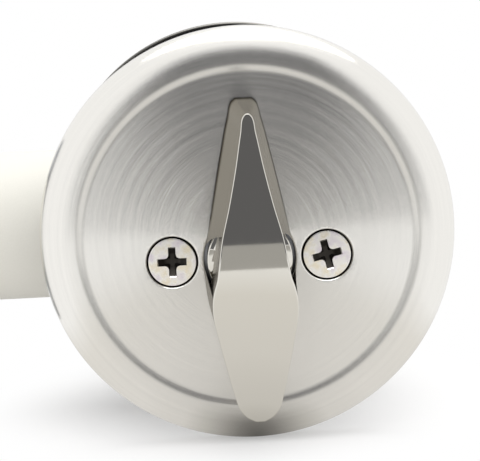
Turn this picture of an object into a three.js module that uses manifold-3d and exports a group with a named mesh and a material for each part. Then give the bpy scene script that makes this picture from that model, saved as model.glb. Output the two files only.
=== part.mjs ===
// Single-cylinder deadbolt door lock, modelled in millimetres with +Z up.
// The origin is where the axis of the door's cross bore (Y) meets the latch axis (X),
// half way through the door. The thumbturn side faces -Y, the key side +Y and the
// door's edge -X. The bolt is drawn back and the thumbturn stands upright.
import * as THREE from 'three';
import { mergeVertices } from 'three/addons/utils/BufferGeometryUtils.js';
import Module from 'manifold-3d';

const wasm = await Module();
wasm.setup();

// Door, bores and clearances
const doorThickness = 44.45;
const backset = 60.325;
const crossBore = 53.98;
const edgeBore = 25.4;
const coverOverlap = 5.51;
const spindleDrop = 3.3;
const fitGap = 0.3;
const slimGap = 0.15;
const cutOverrun = 3;
const weldDistance = 0.0001;

// Rose, the cover on the thumbturn side
const roseEdgeHeight = 1.2;
const roseDepth = 5.75;
const roseDiscHeight = 5.4;
const roseRimWidth = 6.1;
const roseFlankWidth = 1.5;
const roseCrestWidth = 0.2;
const roseDomeFullness = 2.7;
const roseWall = 1.6;

// Backing plate under the rose
const backingThickness = 1.5;
const backingLip = 1.2;
const backingLipDepth = 5;

// Mounting screws
const screwSpread = 24;
const screwRadius = 2;
const screwHeadRadius = 3.55;
const screwHeadDepth = 1.5;
const screwHeadSink = 0.15;
const screwHoleRadius = 2.9;
const countersinkRadius = 4;
const screwEngagement = 7.7;
const screwPointLength = 1.5;
const crossLength = 4.6;
const crossWidth = 1.1;
const crossDepth = 1.2;

// Thumbturn
const paddleOverhang = 0.5;
const paddleLead = 1.3;
const paddleHalfWidth = 7;
const paddleHeight = 14;
const paddleClearance = 0.8;
const paddleTipInset = 1.6;
const paddleCrown = 0.8;
const paddleBevel = 0.22;
const hubRadius = 6.6;
const hubGap = 0.5;
const stemWall = 1.35;
const stemReach = 2.6;
const grooveDepth = 0.9;

// Thumbturn washer and retaining ring
const washerThickness = 0.4;
const washerWidth = 2.6;
const washerWave = 0.25;
const clipThickness = 0.9;
const clipWidth = 3.2;

// Tailpiece blade and its drive
const bladeWidth = 6.35;
const bladeThickness = 1.6;
const bladeEntry = 4;
const tailHeadThickness = 1.2;
const driveLugHeight = 2;
const driveLugInner = 2.2;

// Faceplate on the door's edge
const faceplateHeight = 57.15;
const faceplateThickness = 2.4;
const faceplateCorner = 6.35;
const faceplateScrewInset = 7.9;
const faceplateHoleRadius = 2.4;
const faceplateSinkRadius = 4.4;
const backerThickness = 1.4;
const backerInset = 0.6;

// Latch tube and its label
const tubeClearance = 0.4;
const tubeWall = 0.7;
const tubeStop = 2.5;
const labelThickness = 0.2;
const labelGap = 0.1;
const labelInset = 3.9;
const labelLength = 25;

// Bolt, its armour pin and its tail
const boltThrow = 25.4;
const boltWidth = 12.7;
const boltClearance = 0.4;
const boltChamfer = 1.2;
const boltScrewGap = 1.5;
const armourRadius = 3;
const armourNose = 4;
const armourLength = 35;
const tailStripThickness = 1.5;
const tailStripHeight = 3.4;
const tailTongueLength = 11;
const tailPinRadius = 1.6;
const tailEyeWall = 1;

// Latch cam
const camPlateThickness = 2.8;
const camHubRadius = 6;
const camJournalWall = 0.65;
const camForkHalfWidth = 4.6;
const camForkReach = 1.8;
const camTipChamfer = 2.4;

// Latch case
const caseSideGap = 0.65;
const casePlateThickness = 1.2;
const caseClearance = 0.4;
const caseTailRoom = 4.7;
const caseTongueLength = 9;
const caseCorner = 3;
const rivetRadius = 1.4;
const rivetHeadRadius = 2.3;
const rivetHeadHeight = 0.8;
const rivetSetback = 2.9;
const rivetSpread = 9;

// Collar on the key side
const collarTaper = 7;
const collarDepth = 17.5;
const collarEdgeHeight = 3;
const collarFrontRound = 2.2;
const collarWall = 1.9;
const collarFrontWidth = 5.7;
const collarMouthGap = 0.4;
const collarLip = 2.4;

// Cylinder body
const bodyFaceProud = 0.5;
const bodyShoulderWidth = 2.6;
const bodyFlange = 3.1;
const bodyRearWall = 1;
const barrelWall = 3.8;
const bibleWall = 2.2;
const bossRadius = 5.2;
const bossStep = 4.8;

// Plug and cap
const plugRadius = 6.35;
const plugProud = 0.3;
const plugGap = 0.25;
const plugTail = 2;
const keywayWidth = 1.9;
const keywayTop = 2.4;
const keywayStep = 0.8;
const keywayStepHeight = 2.1;
const capWall = 1.3;
const capFloor = 1.2;
const capMouthGap = 0.8;

// Pin stacks
const pinCount = 5;
const pinSpacing = 3.8;
const pinFromFace = 5.2;
const pinRadius = 1.3;
const pinTip = 0.7;
const driverLength = 4.4;
const springWire = 0.4;
const springRadius = 1.05;
const springLength = 6.3;
const springTurns = 4;
const coverThickness = 1.1;
const coverWidth = 5.2;
const keyCutLengthShares = [0.82, 0.62, 0.94, 0.7, 0.78];

// Screw posts
const postRadius = 3.5;
const postLength = 11.6;
const postSeat = 6;

// Facet counts
const rimFacets = 48;
const tubeFacets = 36;
const shaftFacets = 24;
const pinFacets = 12;
const cornerFacets = 4;

// Faces of the door, the spindle and the screws
const insideFace = -doorThickness / 2;
const outsideFace = doorThickness / 2;
const spindleZ = -spindleDrop;
const screwX = screwSpread / 2;

// Thumbturn side
const roseRadius = crossBore / 2 + coverOverlap;
const roseRingRadius = roseRadius - roseRimWidth;
const roseRoof = roseDiscHeight - roseWall;
const paddleDown = roseRingRadius - spindleDrop + paddleOverhang;
const paddleUp = paddleDown + paddleLead;
const hubHoleRadius = hubRadius + hubGap;
const bladeReach = Math.hypot(bladeWidth / 2, bladeThickness / 2);
const bladeHoleReach = Math.hypot(bladeWidth / 2 + fitGap, bladeThickness / 2 + fitGap);
const stemRadius = bladeHoleReach + stemWall;
const backingFront = roseRoof - fitGap;
const backingBack = backingFront - backingThickness;
const washerMiddle = backingBack - slimGap - washerWave - washerThickness / 2;
const clipFront = washerMiddle - washerThickness / 2 - washerWave - slimGap;
const clipBack = clipFront - clipThickness;

// Latch
const crankHeight = boltThrow / 2;
const faceplateWidth = edgeBore;
const faceplateBack = -backset + faceplateThickness;
const backerBack = faceplateBack + fitGap + backerThickness;
const boltNose = -backset;
const boltRear = screwX + screwRadius + boltScrewGap;
const tubeRadius = edgeBore / 2 - tubeClearance;
const tubeBore = tubeRadius - tubeWall;
const tubeFront = backerBack + fitGap;
const tubeEnd = boltRear + tubeStop;
const boltHeight = 2 * (Math.sqrt(tubeBore ** 2 - (boltWidth / 2) ** 2) - boltClearance);
const camHalf = camPlateThickness / 2;
const camJournalRadius = bladeHoleReach + camJournalWall;
const tailGap = camHalf + fitGap;
const tailHalfWidth = tailGap + tailStripThickness;
const tailTop = boltHeight / 2 - slimGap;
const tailBottom = tailTop - tailStripHeight;
const tailPinX = crankHeight;
const tailPinZ = spindleZ + crankHeight;
const tailEyeRadius = tailPinRadius + tailEyeWall;
const caseHalfGap = boltWidth / 2 + caseSideGap;
const caseSide = caseHalfGap + casePlateThickness;
const caseHeight = 2 * (Math.sqrt((edgeBore / 2) ** 2 - caseSide ** 2) - caseClearance);
const caseTongueHeight = 2 * (Math.sqrt(tubeBore ** 2 - caseSide ** 2) - caseClearance);
const caseRear = tailPinX + tailEyeRadius + caseTailRoom;
const rivetX = caseRear - rivetSetback;
const rivetPlaces = [rivetSpread / 2 - rivetRadius, -rivetSpread / 2 - rivetRadius];

// Key side
const collarRadius = crossBore / 2 + coverOverlap;
const collarFrontRadius = collarRadius - collarTaper;
const collarMouthRadius = collarFrontRadius - collarFrontWidth;
const bodyFaceRadius = collarMouthRadius - collarMouthGap;
const collarFace = outsideFace + collarDepth;
const bodyFace = collarFace + bodyFaceProud;
const shoulderY = collarFace - collarLip - fitGap;
const barrelRadius = plugRadius + plugGap + barrelWall;
const plugFace = bodyFace + plugProud;
const pinY = (i) => bodyFace - pinFromFace - i * pinSpacing;
const coverStart = pinY(pinCount - 1) - pinRadius - fitGap;
const coverEnd = pinY(0) + pinRadius + fitGap;
const bodyRear = coverStart - bodyRearWall;
const bossRear = bodyRear + bossStep;
const postEnd = bossRear - postLength;
const screwEnd = postEnd + screwEngagement;
const driverBottom = spindleZ + plugRadius + plugGap + slimGap;
const driverTop = driverBottom + driverLength;
const springBottom = driverTop + slimGap + springWire / 2;
const coverBottom = driverTop + slimGap + springLength + slimGap;
const bibleTop = coverBottom + coverThickness;
const bibleWidth = coverWidth + 2 * bibleWall;

// Drive between the plug and the tailpiece
const plugEnd = bodyRear - plugTail;
const capOpen = bodyRear - fitGap;
const tailHeadRadius = plugRadius - fitGap;
const driveLugOuter = tailHeadRadius - fitGap;
const tailLugTop = plugEnd - fitGap;
const tailHeadFront = tailLugTop - driveLugHeight;
const tailHeadBack = tailHeadFront - tailHeadThickness;
const capInside = tailHeadBack - fitGap;
const capOutside = capInside - capFloor;
const capMouthRadius = bladeReach + capMouthGap;
const lugHalfAngle = Math.PI / 4 - Math.asin(fitGap / driveLugInner / 2);

// Height above the door's inside face, as a Y coordinate
const insideY = (height) => insideFace - height;

const steel = { color: 0xb9b7b2, roughness: 0.34, metalness: 1 };
const brightNickel = { color: 0xd8d5cd, roughness: 0.16, metalness: 1 };
const plainSteel = { color: 0x9a9c9f, roughness: 0.45, metalness: 1 };
const springSteel = { color: 0x6f7276, roughness: 0.38, metalness: 1 };
const brass = { color: 0xc6a15b, roughness: 0.32, metalness: 1 };
const castZinc = { color: 0x85868a, roughness: 0.55, metalness: 1 };
const labelPaper = { color: 0xf2f1ee, roughness: 0.75, metalness: 0 };

const lock = new THREE.Group();

// Turns a closed geometry into a solid, with its faces pointing out
function toSolid(geometry) {
  const bare = geometry.clone();
  bare.deleteAttribute('normal');
  bare.deleteAttribute('uv');
  const welded = mergeVertices(bare, weldDistance);
  const corners = welded.attributes.position.array;
  const faces = [];
  const index = welded.index.array;
  for (let i = 0; i < index.length; i += 3) {
    const [a, b, c] = [index[i], index[i + 1], index[i + 2]];
    if (a !== b && b !== c && c !== a) faces.push([a, b, c]);
  }
  const point = (i) => new THREE.Vector3().fromArray(corners, 3 * i);
  const volume = faces.reduce((sum, [a, b, c]) => sum + point(a).dot(point(b).cross(point(c))), 0);
  const outward = volume < 0 ? faces.map(([a, b, c]) => [a, c, b]) : faces;
  return new wasm.Manifold(new wasm.Mesh({
    numProp: 3,
    vertProperties: new Float32Array(corners),
    triVerts: new Uint32Array(outward.flat()),
  }));
}

// Adds a solid to the lock as a named mesh
function place(name, solid, finish) {
  const { vertProperties, triVerts } = solid.getMesh();
  const geometry = new THREE.BufferGeometry();
  geometry.setAttribute('position', new THREE.BufferAttribute(vertProperties, 3));
  geometry.setIndex(new THREE.BufferAttribute(triVerts, 1));
  geometry.computeVertexNormals();
  const material = new THREE.MeshStandardMaterial({ ...finish, flatShading: true });
  const mesh = new THREE.Mesh(geometry, material);
  mesh.name = name;
  lock.add(mesh);
}

// Solid of revolution about the cross bore's axis, from [radius, y] points
function revolve(points, facets) {
  return toSolid(new THREE.LatheGeometry(points.map(([r, y]) => new THREE.Vector2(r, y)), facets));
}

// Round bar along Y
function barY(radius, fromY, toY, x, z, facets = shaftFacets) {
  const geometry = new THREE.CylinderGeometry(radius, radius, Math.abs(toY - fromY), facets);
  geometry.translate(x, (fromY + toY) / 2, z);
  return toSolid(geometry);
}

// Cone along Y, with its own radius at each end
function coneY(fromRadius, fromY, toRadius, toY, x, z, facets = shaftFacets) {
  const low = fromY < toY ? fromRadius : toRadius;
  const high = fromY < toY ? toRadius : fromRadius;
  const geometry = new THREE.CylinderGeometry(high, low, Math.abs(toY - fromY), facets);
  geometry.translate(x, (fromY + toY) / 2, z);
  return toSolid(geometry);
}

// Tube or bar along X, from [radius, x] points
function revolveX(points, facets) {
  const geometry = new THREE.LatheGeometry(points.map(([r, x]) => new THREE.Vector2(r, x)), facets);
  geometry.rotateZ(-Math.PI / 2);
  return toSolid(geometry);
}

// Round bar along Z
function barZ(radius, fromZ, toZ, x, y, facets = pinFacets) {
  const geometry = new THREE.CylinderGeometry(radius, radius, Math.abs(toZ - fromZ), facets);
  geometry.rotateX(Math.PI / 2);
  geometry.translate(x, y, (fromZ + toZ) / 2);
  return toSolid(geometry);
}

// Flat outline in X and Z, given its thickness along Y
function plateY(shape, fromY, toY, facets = cornerFacets) {
  const settings = { depth: Math.abs(toY - fromY), bevelEnabled: false, curveSegments: facets };
  const geometry = new THREE.ExtrudeGeometry(shape, settings);
  geometry.rotateX(Math.PI / 2);
  geometry.translate(0, Math.max(fromY, toY), 0);
  return toSolid(geometry);
}

// Flat outline in Y and Z, given its thickness along X
function plateX(shape, fromX, toX, facets = cornerFacets) {
  const settings = { depth: toX - fromX, bevelEnabled: false, curveSegments: facets };
  const geometry = new THREE.ExtrudeGeometry(shape, settings);
  geometry.applyMatrix4(new THREE.Matrix4().makeBasis(
    new THREE.Vector3(0, 1, 0), new THREE.Vector3(0, 0, 1), new THREE.Vector3(1, 0, 0)));
  geometry.translate(fromX, 0, 0);
  return toSolid(geometry);
}

// Block between two corners
function block(lowX, highX, lowY, highY, lowZ, highZ) {
  const geometry = new THREE.BoxGeometry(highX - lowX, highY - lowY, highZ - lowZ);
  geometry.translate((lowX + highX) / 2, (lowY + highY) / 2, (lowZ + highZ) / 2);
  return toSolid(geometry);
}

// Rectangle with rounded corners, centred on a point
function roundedRectangle(width, height, corner, x = 0, y = 0) {
  const shape = new THREE.Shape();
  const [w, h] = [width / 2, height / 2];
  shape.moveTo(x - w + corner, y - h);
  shape.absarc(x + w - corner, y - h + corner, corner, -Math.PI / 2, 0);
  shape.absarc(x + w - corner, y + h - corner, corner, 0, Math.PI / 2);
  shape.absarc(x - w + corner, y + h - corner, corner, Math.PI / 2, Math.PI);
  shape.absarc(x - w + corner, y - h + corner, corner, Math.PI, 1.5 * Math.PI);
  shape.closePath();
  return shape;
}

// Closed outline through straight runs
function polygon(points) {
  return new THREE.Shape(points.map(([x, y]) => new THREE.Vector2(x, y)));
}

// Points on an arc of an ellipse, from one angle to another in quarter turns.
// A fullness above 2 swells the ellipse toward its box.
function arcPoints(x, y, radiusX, radiusY, fromQuarter, toQuarter, steps, fullness = 2) {
  const swollen = (part) => Math.sign(part) * Math.abs(part) ** (2 / fullness);
  return Array.from({ length: steps + 1 }, (_, i) => {
    const angle = (fromQuarter + (toQuarter - fromQuarter) * i / steps) * Math.PI / 2;
    return [x + radiusX * swollen(Math.cos(angle)), y + radiusY * swollen(Math.sin(angle))];
  });
}

// Rose: a pressed steel cover with a flat disc inside a raised, rounded rim
function makeRose() {
  const crest = roseRingRadius + roseFlankWidth + roseCrestWidth;
  const rimWidth = roseRadius - crest;
  const steps = 5;
  const roofDepth = roseDepth - roseEdgeHeight;
  const outer = [
    [0, roseDiscHeight],
    [roseRingRadius, roseDiscHeight],
    [roseRingRadius + roseFlankWidth, roseDepth - (roseDepth - roseDiscHeight) / 8],
    ...arcPoints(crest, roseEdgeHeight, rimWidth, roofDepth, 1, 0, steps, roseDomeFullness),
    [roseRadius, 0],
  ];
  const inner = [
    [roseRadius - roseWall, 0],
    ...arcPoints(crest, roseEdgeHeight, rimWidth - roseWall, roofDepth - roseWall, 0, 1, steps),
    [roseRingRadius + roseWall / 2, roseRoof],
    [0, roseRoof],
  ];
  let rose = revolve([...outer, ...inner].map(([r, h]) => [r, insideY(h)]), rimFacets);
  const above = insideY(roseDepth + cutOverrun);
  const below = insideY(roseRoof - cutOverrun);
  const [disc, roof] = [insideY(roseDiscHeight), insideY(roseRoof)];
  rose = rose.subtract(barY(hubHoleRadius, below, above, 0, spindleZ));
  for (const x of [-screwX, screwX]) {
    rose = rose.subtract(barY(screwHoleRadius, below, above, x, spindleZ));
    const lip = screwHoleRadius - fitGap / 2;
    rose = rose.subtract(coneY(lip, roof, countersinkRadius, disc, x, spindleZ));
    rose = rose.subtract(barY(countersinkRadius, disc, above, x, spindleZ));
  }
  place('interior_rose', rose, steel);
}

// Backing plate: a steel disc whose lip centres the rose in the cross bore
function makeBackingPlate() {
  const radius = crossBore / 2 - fitGap;
  let plate = revolve([
    [0, backingFront],
    [radius - fitGap, backingFront],
    [radius, backingFront - fitGap],
    [radius, backingFront - backingLipDepth],
    [radius - backingLip, backingFront - backingLipDepth],
    [radius - backingLip, backingBack],
    [0, backingBack],
  ].map(([r, h]) => [r, insideY(h)]), rimFacets);
  const above = insideY(backingFront + cutOverrun);
  const below = insideY(backingBack - cutOverrun);
  plate = plate.subtract(barY(stemRadius + fitGap, below, above, 0, spindleZ));
  for (const x of [-screwX, screwX]) {
    plate = plate.subtract(barY(screwHoleRadius, below, above, x, spindleZ));
  }
  place('interior_backing_plate', plate, plainSteel);
}

// Mounting screw: flat head with a cross recess, shaft and blunt point
function makeMountingScrew(name, x, recessTurn) {
  const top = insideY(roseDiscHeight - screwHeadSink);
  const headBottom = insideY(roseDiscHeight - screwHeadSink - screwHeadDepth);
  const profile = [
    [0, top], [screwHeadRadius, top], [screwRadius, headBottom], [screwRadius, screwEnd - screwPointLength],
    [screwRadius - screwPointLength / 2, screwEnd], [0, screwEnd],
  ];
  let screw = revolve(profile, shaftFacets).translate(x, 0, spindleZ);
  for (const quarter of [0, 1]) {
    const arm = new THREE.BoxGeometry(crossLength, 2 * crossDepth, crossWidth);
    arm.rotateY(quarter * Math.PI / 2 + recessTurn);
    arm.translate(x, top, spindleZ);
    screw = screw.subtract(toSolid(arm));
  }
  place(name, screw, brightNickel);
}

// Half widths of the paddle along its length, from the upper tip to the lower one:
// place along its arm, foot and face, as shares of the arm and of the greatest half width
const paddleShares = [
  [1, 0.18, 0.05],
  [0.985, 0.25, 0.105],
  [0.88, 0.37, 0.19],
  [0.66, 0.55, 0.325],
  [0.43, 0.72, 0.475],
  [0.2, 0.88, 0.63],
  [0.04, 0.975, 0.71],
  [-0.04, 0.995, 0.76],
  [-0.1, 1, 0.83],
  [-0.17, 0.995, 0.88],
  [-0.26, 0.96, 0.885],
  [-0.45, 0.815, 0.77],
  [-0.65, 0.657, 0.63],
  [-0.82, 0.52, 0.5],
  [-0.91, 0.43, 0.41],
  [-0.97, 0.28, 0.265],
  [-1, 0.1, 0.095],
];

// One side of the paddle's outline at its foot or face, drawn in by an inset
function paddleSide(column, tipInset, inset) {
  return paddleShares.map((share) => {
    const arm = (share[0] > 0 ? paddleUp : paddleDown) - tipInset;
    const half = share[column] * paddleHalfWidth - inset / 2;
    return [Math.max(half, paddleBevel / 8), share[0] * (arm - inset)];
  });
}

// Height of the paddle's face above the door, highest at the spindle
function paddleFaceHeight(z) {
  const top = roseDiscHeight + paddleHeight;
  return top - paddleCrown * (z / paddleUp) ** 2;
}

// Loft through rings of equal point counts, closed by a strip across each end
function loftRings(rings) {
  const count = rings[0].length;
  const corners = rings.flat().flat();
  const faces = [];
  for (let level = 0; level + 1 < rings.length; level += 1) {
    for (let i = 0; i < count; i += 1) {
      const next = (i + 1) % count;
      const [a, b] = [level * count + i, level * count + next];
      faces.push(a, b, b + count, a, b + count, a + count);
    }
  }
  const last = (rings.length - 1) * count;
  for (let i = 0; i + 1 < count / 2; i += 1) {
    const [left, right] = [i, count - 1 - i];
    faces.push(left, right, right - 1, left, right - 1, left + 1);
    faces.push(last + left, last + right - 1, last + right, last + left, last + left + 1, last + right - 1);
  }
  const geometry = new THREE.BufferGeometry();
  geometry.setAttribute('position', new THREE.BufferAttribute(new Float32Array(corners), 3));
  geometry.setIndex(faces);
  return toSolid(geometry);
}

// Ring of points round the paddle at one level
function paddleRing(side, heightAt) {
  const right = side.map(([half, z]) => [half, insideY(heightAt(z)), z + spindleZ]);
  const left = side.map(([half, z]) => [-half, insideY(heightAt(z)), z + spindleZ]).reverse();
  return [...right, ...left];
}

// Thumbturn: a tapering paddle with a crowned face on a round hub and stem
function makeThumbturn() {
  const underside = roseDiscHeight + paddleClearance;
  const foot = paddleSide(1, 0, 0);
  const edge = paddleSide(2, paddleTipInset, 0);
  const face = paddleSide(2, paddleTipInset, 2 * paddleBevel);
  const paddle = loftRings([
    paddleRing(foot, () => underside),
    paddleRing(edge, (z) => paddleFaceHeight(z) - paddleBevel),
    paddleRing(face, paddleFaceHeight),
  ]);
  const overTop = underside + paddleHeight + cutOverrun;
  const neckOutline = [...edge, ...edge.map(([half, z]) => [-half, z]).reverse()];
  const neck = plateY(polygon(neckOutline.map(([x, z]) => [x, z + spindleZ])), insideY(0), insideY(overTop));
  const scoop = barY(hubHoleRadius, insideY(underside), insideY(overTop), 0, spindleZ).subtract(neck);
  const shoulder = backingFront + fitGap;
  const stemEnd = -stemReach;
  let turn = paddle.subtract(scoop);
  turn = turn.add(barY(hubRadius, insideY(shoulder), insideY(underside + slimGap), 0, spindleZ));
  turn = turn.add(barY(stemRadius, insideY(stemEnd), insideY(shoulder + slimGap), 0, spindleZ));
  const [grooveBack, grooveFront] = [insideY(clipBack - slimGap), insideY(clipFront + slimGap)];
  const root = barY(stemRadius - grooveDepth, grooveBack + cutOverrun, grooveFront - cutOverrun, 0, spindleZ);
  const groove = barY(stemRadius + cutOverrun, grooveBack, grooveFront, 0, spindleZ).subtract(root);
  turn = turn.subtract(groove);
  const socket = block(
    -bladeThickness / 2 - fitGap, bladeThickness / 2 + fitGap,
    insideY(bladeEntry + fitGap), insideY(stemEnd - cutOverrun),
    spindleZ - bladeWidth / 2 - fitGap, spindleZ + bladeWidth / 2 + fitGap);
  place('thumbturn', turn.subtract(socket), steel);
}

// Wave washer that keeps the thumbturn from rattling
function makeWasher() {
  const inner = stemRadius + fitGap;
  const half = washerThickness / 2;
  const section = [[inner, -half], [inner + washerWidth, -half], [inner + washerWidth, half], [inner, half]];
  const points = [...section, section[0]].map(([r, y]) => new THREE.Vector2(r, y));
  const geometry = new THREE.LatheGeometry(points, tubeFacets);
  const corners = geometry.attributes.position;
  const waves = 3;
  for (let i = 0; i < corners.count; i += 1) {
    const angle = Math.atan2(corners.getZ(i), corners.getX(i));
    corners.setY(i, corners.getY(i) + washerWave * Math.cos(waves * angle));
  }
  geometry.translate(0, insideY(washerMiddle), spindleZ);
  place('thumbturn_wave_washer', toSolid(geometry), springSteel);
}

// Retaining ring: an open ring pressed into the stem's groove
function makeRetainingRing() {
  const inner = stemRadius - grooveDepth + slimGap;
  const outer = inner + clipWidth;
  const mouth = Math.PI / 5;
  const ring = new THREE.Shape();
  ring.absarc(0, spindleZ, outer, mouth - Math.PI / 2, 1.5 * Math.PI - mouth);
  ring.absarc(0, spindleZ, inner, 1.5 * Math.PI - mouth, mouth - Math.PI / 2, true);
  ring.closePath();
  const solid = plateY(ring, insideY(clipBack), insideY(clipFront), shaftFacets);
  place('thumbturn_retaining_ring', solid, springSteel);
}

// Sector of a ring, used by the two drive lugs
function sectorShape(inner, outer, fromAngle, toAngle) {
  const sector = new THREE.Shape();
  sector.absarc(0, spindleZ, outer, fromAngle, toAngle);
  sector.absarc(0, spindleZ, inner, toAngle, fromAngle, true);
  sector.closePath();
  return sector;
}

// Tailpiece: a flat blade with a round head and a drive lug, turned by plug or thumbturn
function makeTailpiece() {
  let tail = barY(tailHeadRadius, tailHeadBack, tailHeadFront, 0, spindleZ);
  const lug = sectorShape(driveLugInner, driveLugOuter, -lugHalfAngle, lugHalfAngle);
  tail = tail.add(plateY(lug, tailHeadFront - slimGap, tailLugTop, cornerFacets));
  tail = tail.add(block(
    -bladeThickness / 2, bladeThickness / 2, insideY(bladeEntry), tailHeadBack + slimGap,
    spindleZ - bladeWidth / 2, spindleZ + bladeWidth / 2));
  place('tailpiece', tail, plainSteel);
}

// Faceplate: rounded plate with the bolt's opening and two countersunk holes
function makeFaceplate() {
  const shape = roundedRectangle(faceplateWidth, faceplateHeight, faceplateCorner);
  let plate = plateX(shape, boltNose, faceplateBack);
  plate = plate.subtract(boltOpening(boltNose - cutOverrun, faceplateBack + cutOverrun));
  for (const side of [-1, 1]) {
    const z = side * (faceplateHeight / 2 - faceplateScrewInset);
    const sink = revolveX([
      [0, boltNose - cutOverrun],
      [faceplateSinkRadius, boltNose - cutOverrun],
      [faceplateSinkRadius, boltNose],
      [faceplateHoleRadius, faceplateBack - slimGap],
      [faceplateHoleRadius, faceplateBack + cutOverrun],
      [0, faceplateBack + cutOverrun],
    ], shaftFacets);
    plate = plate.subtract(sink.translate(0, 0, z));
  }
  place('latch_faceplate', plate, steel);
}

// Cutter for the opening that the bolt slides through
function boltOpening(fromX, toX) {
  const shape = roundedRectangle(boltWidth + 2 * fitGap, boltHeight + 2 * fitGap, boltChamfer);
  return plateX(shape, fromX, toX);
}

// Backer behind the faceplate, which carries the tube
function makeBacker() {
  const front = faceplateBack + fitGap;
  const shape = roundedRectangle(
    faceplateWidth - 2 * backerInset, faceplateHeight - 2 * backerInset, faceplateCorner - backerInset);
  let plate = plateX(shape, front, backerBack);
  plate = plate.subtract(boltOpening(front - cutOverrun, backerBack + cutOverrun));
  for (const side of [-1, 1]) {
    const z = side * (faceplateHeight / 2 - faceplateScrewInset);
    const hole = revolveX([
      [0, front - cutOverrun],
      [faceplateHoleRadius, front - cutOverrun],
      [faceplateHoleRadius, backerBack + cutOverrun],
      [0, backerBack + cutOverrun],
    ], shaftFacets);
    plate = plate.subtract(hole.translate(0, 0, z));
  }
  place('latch_backer_plate', plate, plainSteel);
}

// Latch tube: thin steel barrel that fills the edge bore
function makeTube() {
  const tube = revolveX([
    [tubeBore, tubeFront], [tubeRadius, tubeFront], [tubeRadius, -tubeEnd], [tubeBore, -tubeEnd],
    [tubeBore, tubeFront],
  ], tubeFacets);
  place('latch_tube', tube, plainSteel);
}

// Paper label wrapped round the tube, left bare
function makeLabel() {
  const inner = tubeRadius + labelGap;
  const outer = inner + labelThickness;
  const [front, rear] = [tubeFront + labelInset, tubeFront + labelInset + labelLength];
  const section = [[inner, front], [outer, front], [outer, rear], [inner, rear], [inner, front]];
  place('latch_label', revolveX(section, tubeFacets), labelPaper);
}

// Bolt: square brass bar with a bored core and a notch for its tail
function makeBolt() {
  let bolt = plateX(roundedRectangle(boltWidth, boltHeight, boltChamfer), boltNose, -boltRear);
  const bore = revolveX([
    [0, boltNose + armourNose - fitGap],
    [armourRadius + fitGap, boltNose + armourNose - fitGap],
    [armourRadius + fitGap, cutOverrun - boltRear],
    [0, cutOverrun - boltRear],
  ], shaftFacets);
  bolt = bolt.subtract(bore);
  const half = tailHalfWidth + fitGap;
  const floor = tailBottom - fitGap;
  bolt = bolt.subtract(block(
    -boltRear - tailTongueLength - fitGap, cutOverrun - boltRear, -half, half, floor, boltHeight));
  place('bolt', bolt, brass);
}

// Hardened pin that spins inside the bolt against a saw
function makeArmourPin() {
  const [front, rear] = [boltNose + armourNose, boltNose + armourNose + armourLength];
  const tip = armourRadius / 3;
  const pin = revolveX([
    [0, front], [armourRadius - tip, front], [armourRadius, front + tip], [armourRadius, rear], [0, rear],
  ], shaftFacets);
  place('bolt_armour_pin', pin, springSteel);
}

// Bolt tail: a forked strip from the bolt's notch back to the cam's pin
function makeTail() {
  const eye = arcPoints(tailPinX, tailPinZ, tailEyeRadius, tailEyeRadius, -1, 2, 3 * cornerFacets);
  const outline = [
    [-boltRear - tailTongueLength, tailBottom],
    ...eye,
    [tailPinX - tailEyeRadius, tailTop],
    [-boltRear - tailTongueLength, tailTop],
  ];
  let tail = plateY(polygon(outline), -tailHalfWidth, tailHalfWidth);
  const slotEnd = -boltRear + fitGap;
  tail = tail.subtract(block(
    slotEnd, tailPinX + tailEyeRadius + cutOverrun, -tailGap, tailGap, tailBottom - cutOverrun, edgeBore));
  const far = tailHalfWidth + cutOverrun;
  tail = tail.subtract(barY(tailPinRadius + slimGap, -far, far, tailPinX, tailPinZ));
  place('bolt_tail', tail, plainSteel);
}

// Pin across the tail that the cam's fork drives
function makeTailPin() {
  const half = tailHalfWidth + fitGap;
  place('bolt_tail_pin', barY(tailPinRadius, -half, half, tailPinX, tailPinZ), springSteel);
}

// Path of the tail pin's centre across and along the cam's fork, by the share of a half turn
function pinPath(share) {
  const angle = share * Math.PI / 4;
  const slide = crankHeight * share;
  return new THREE.Vector2(
    slide * Math.cos(angle) - crankHeight * Math.sin(angle),
    slide * Math.sin(angle) + crankHeight * Math.cos(angle));
}

// Edge of the slot that clears the pin all along that path
function slotEdge(share, clear) {
  const nearShare = 0.01;
  const along = pinPath(share + nearShare).sub(pinPath(share - nearShare)).normalize();
  const outward = new THREE.Vector2(along.y, -along.x).multiplyScalar(clear);
  return pinPath(share).add(outward).toArray();
}

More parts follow.
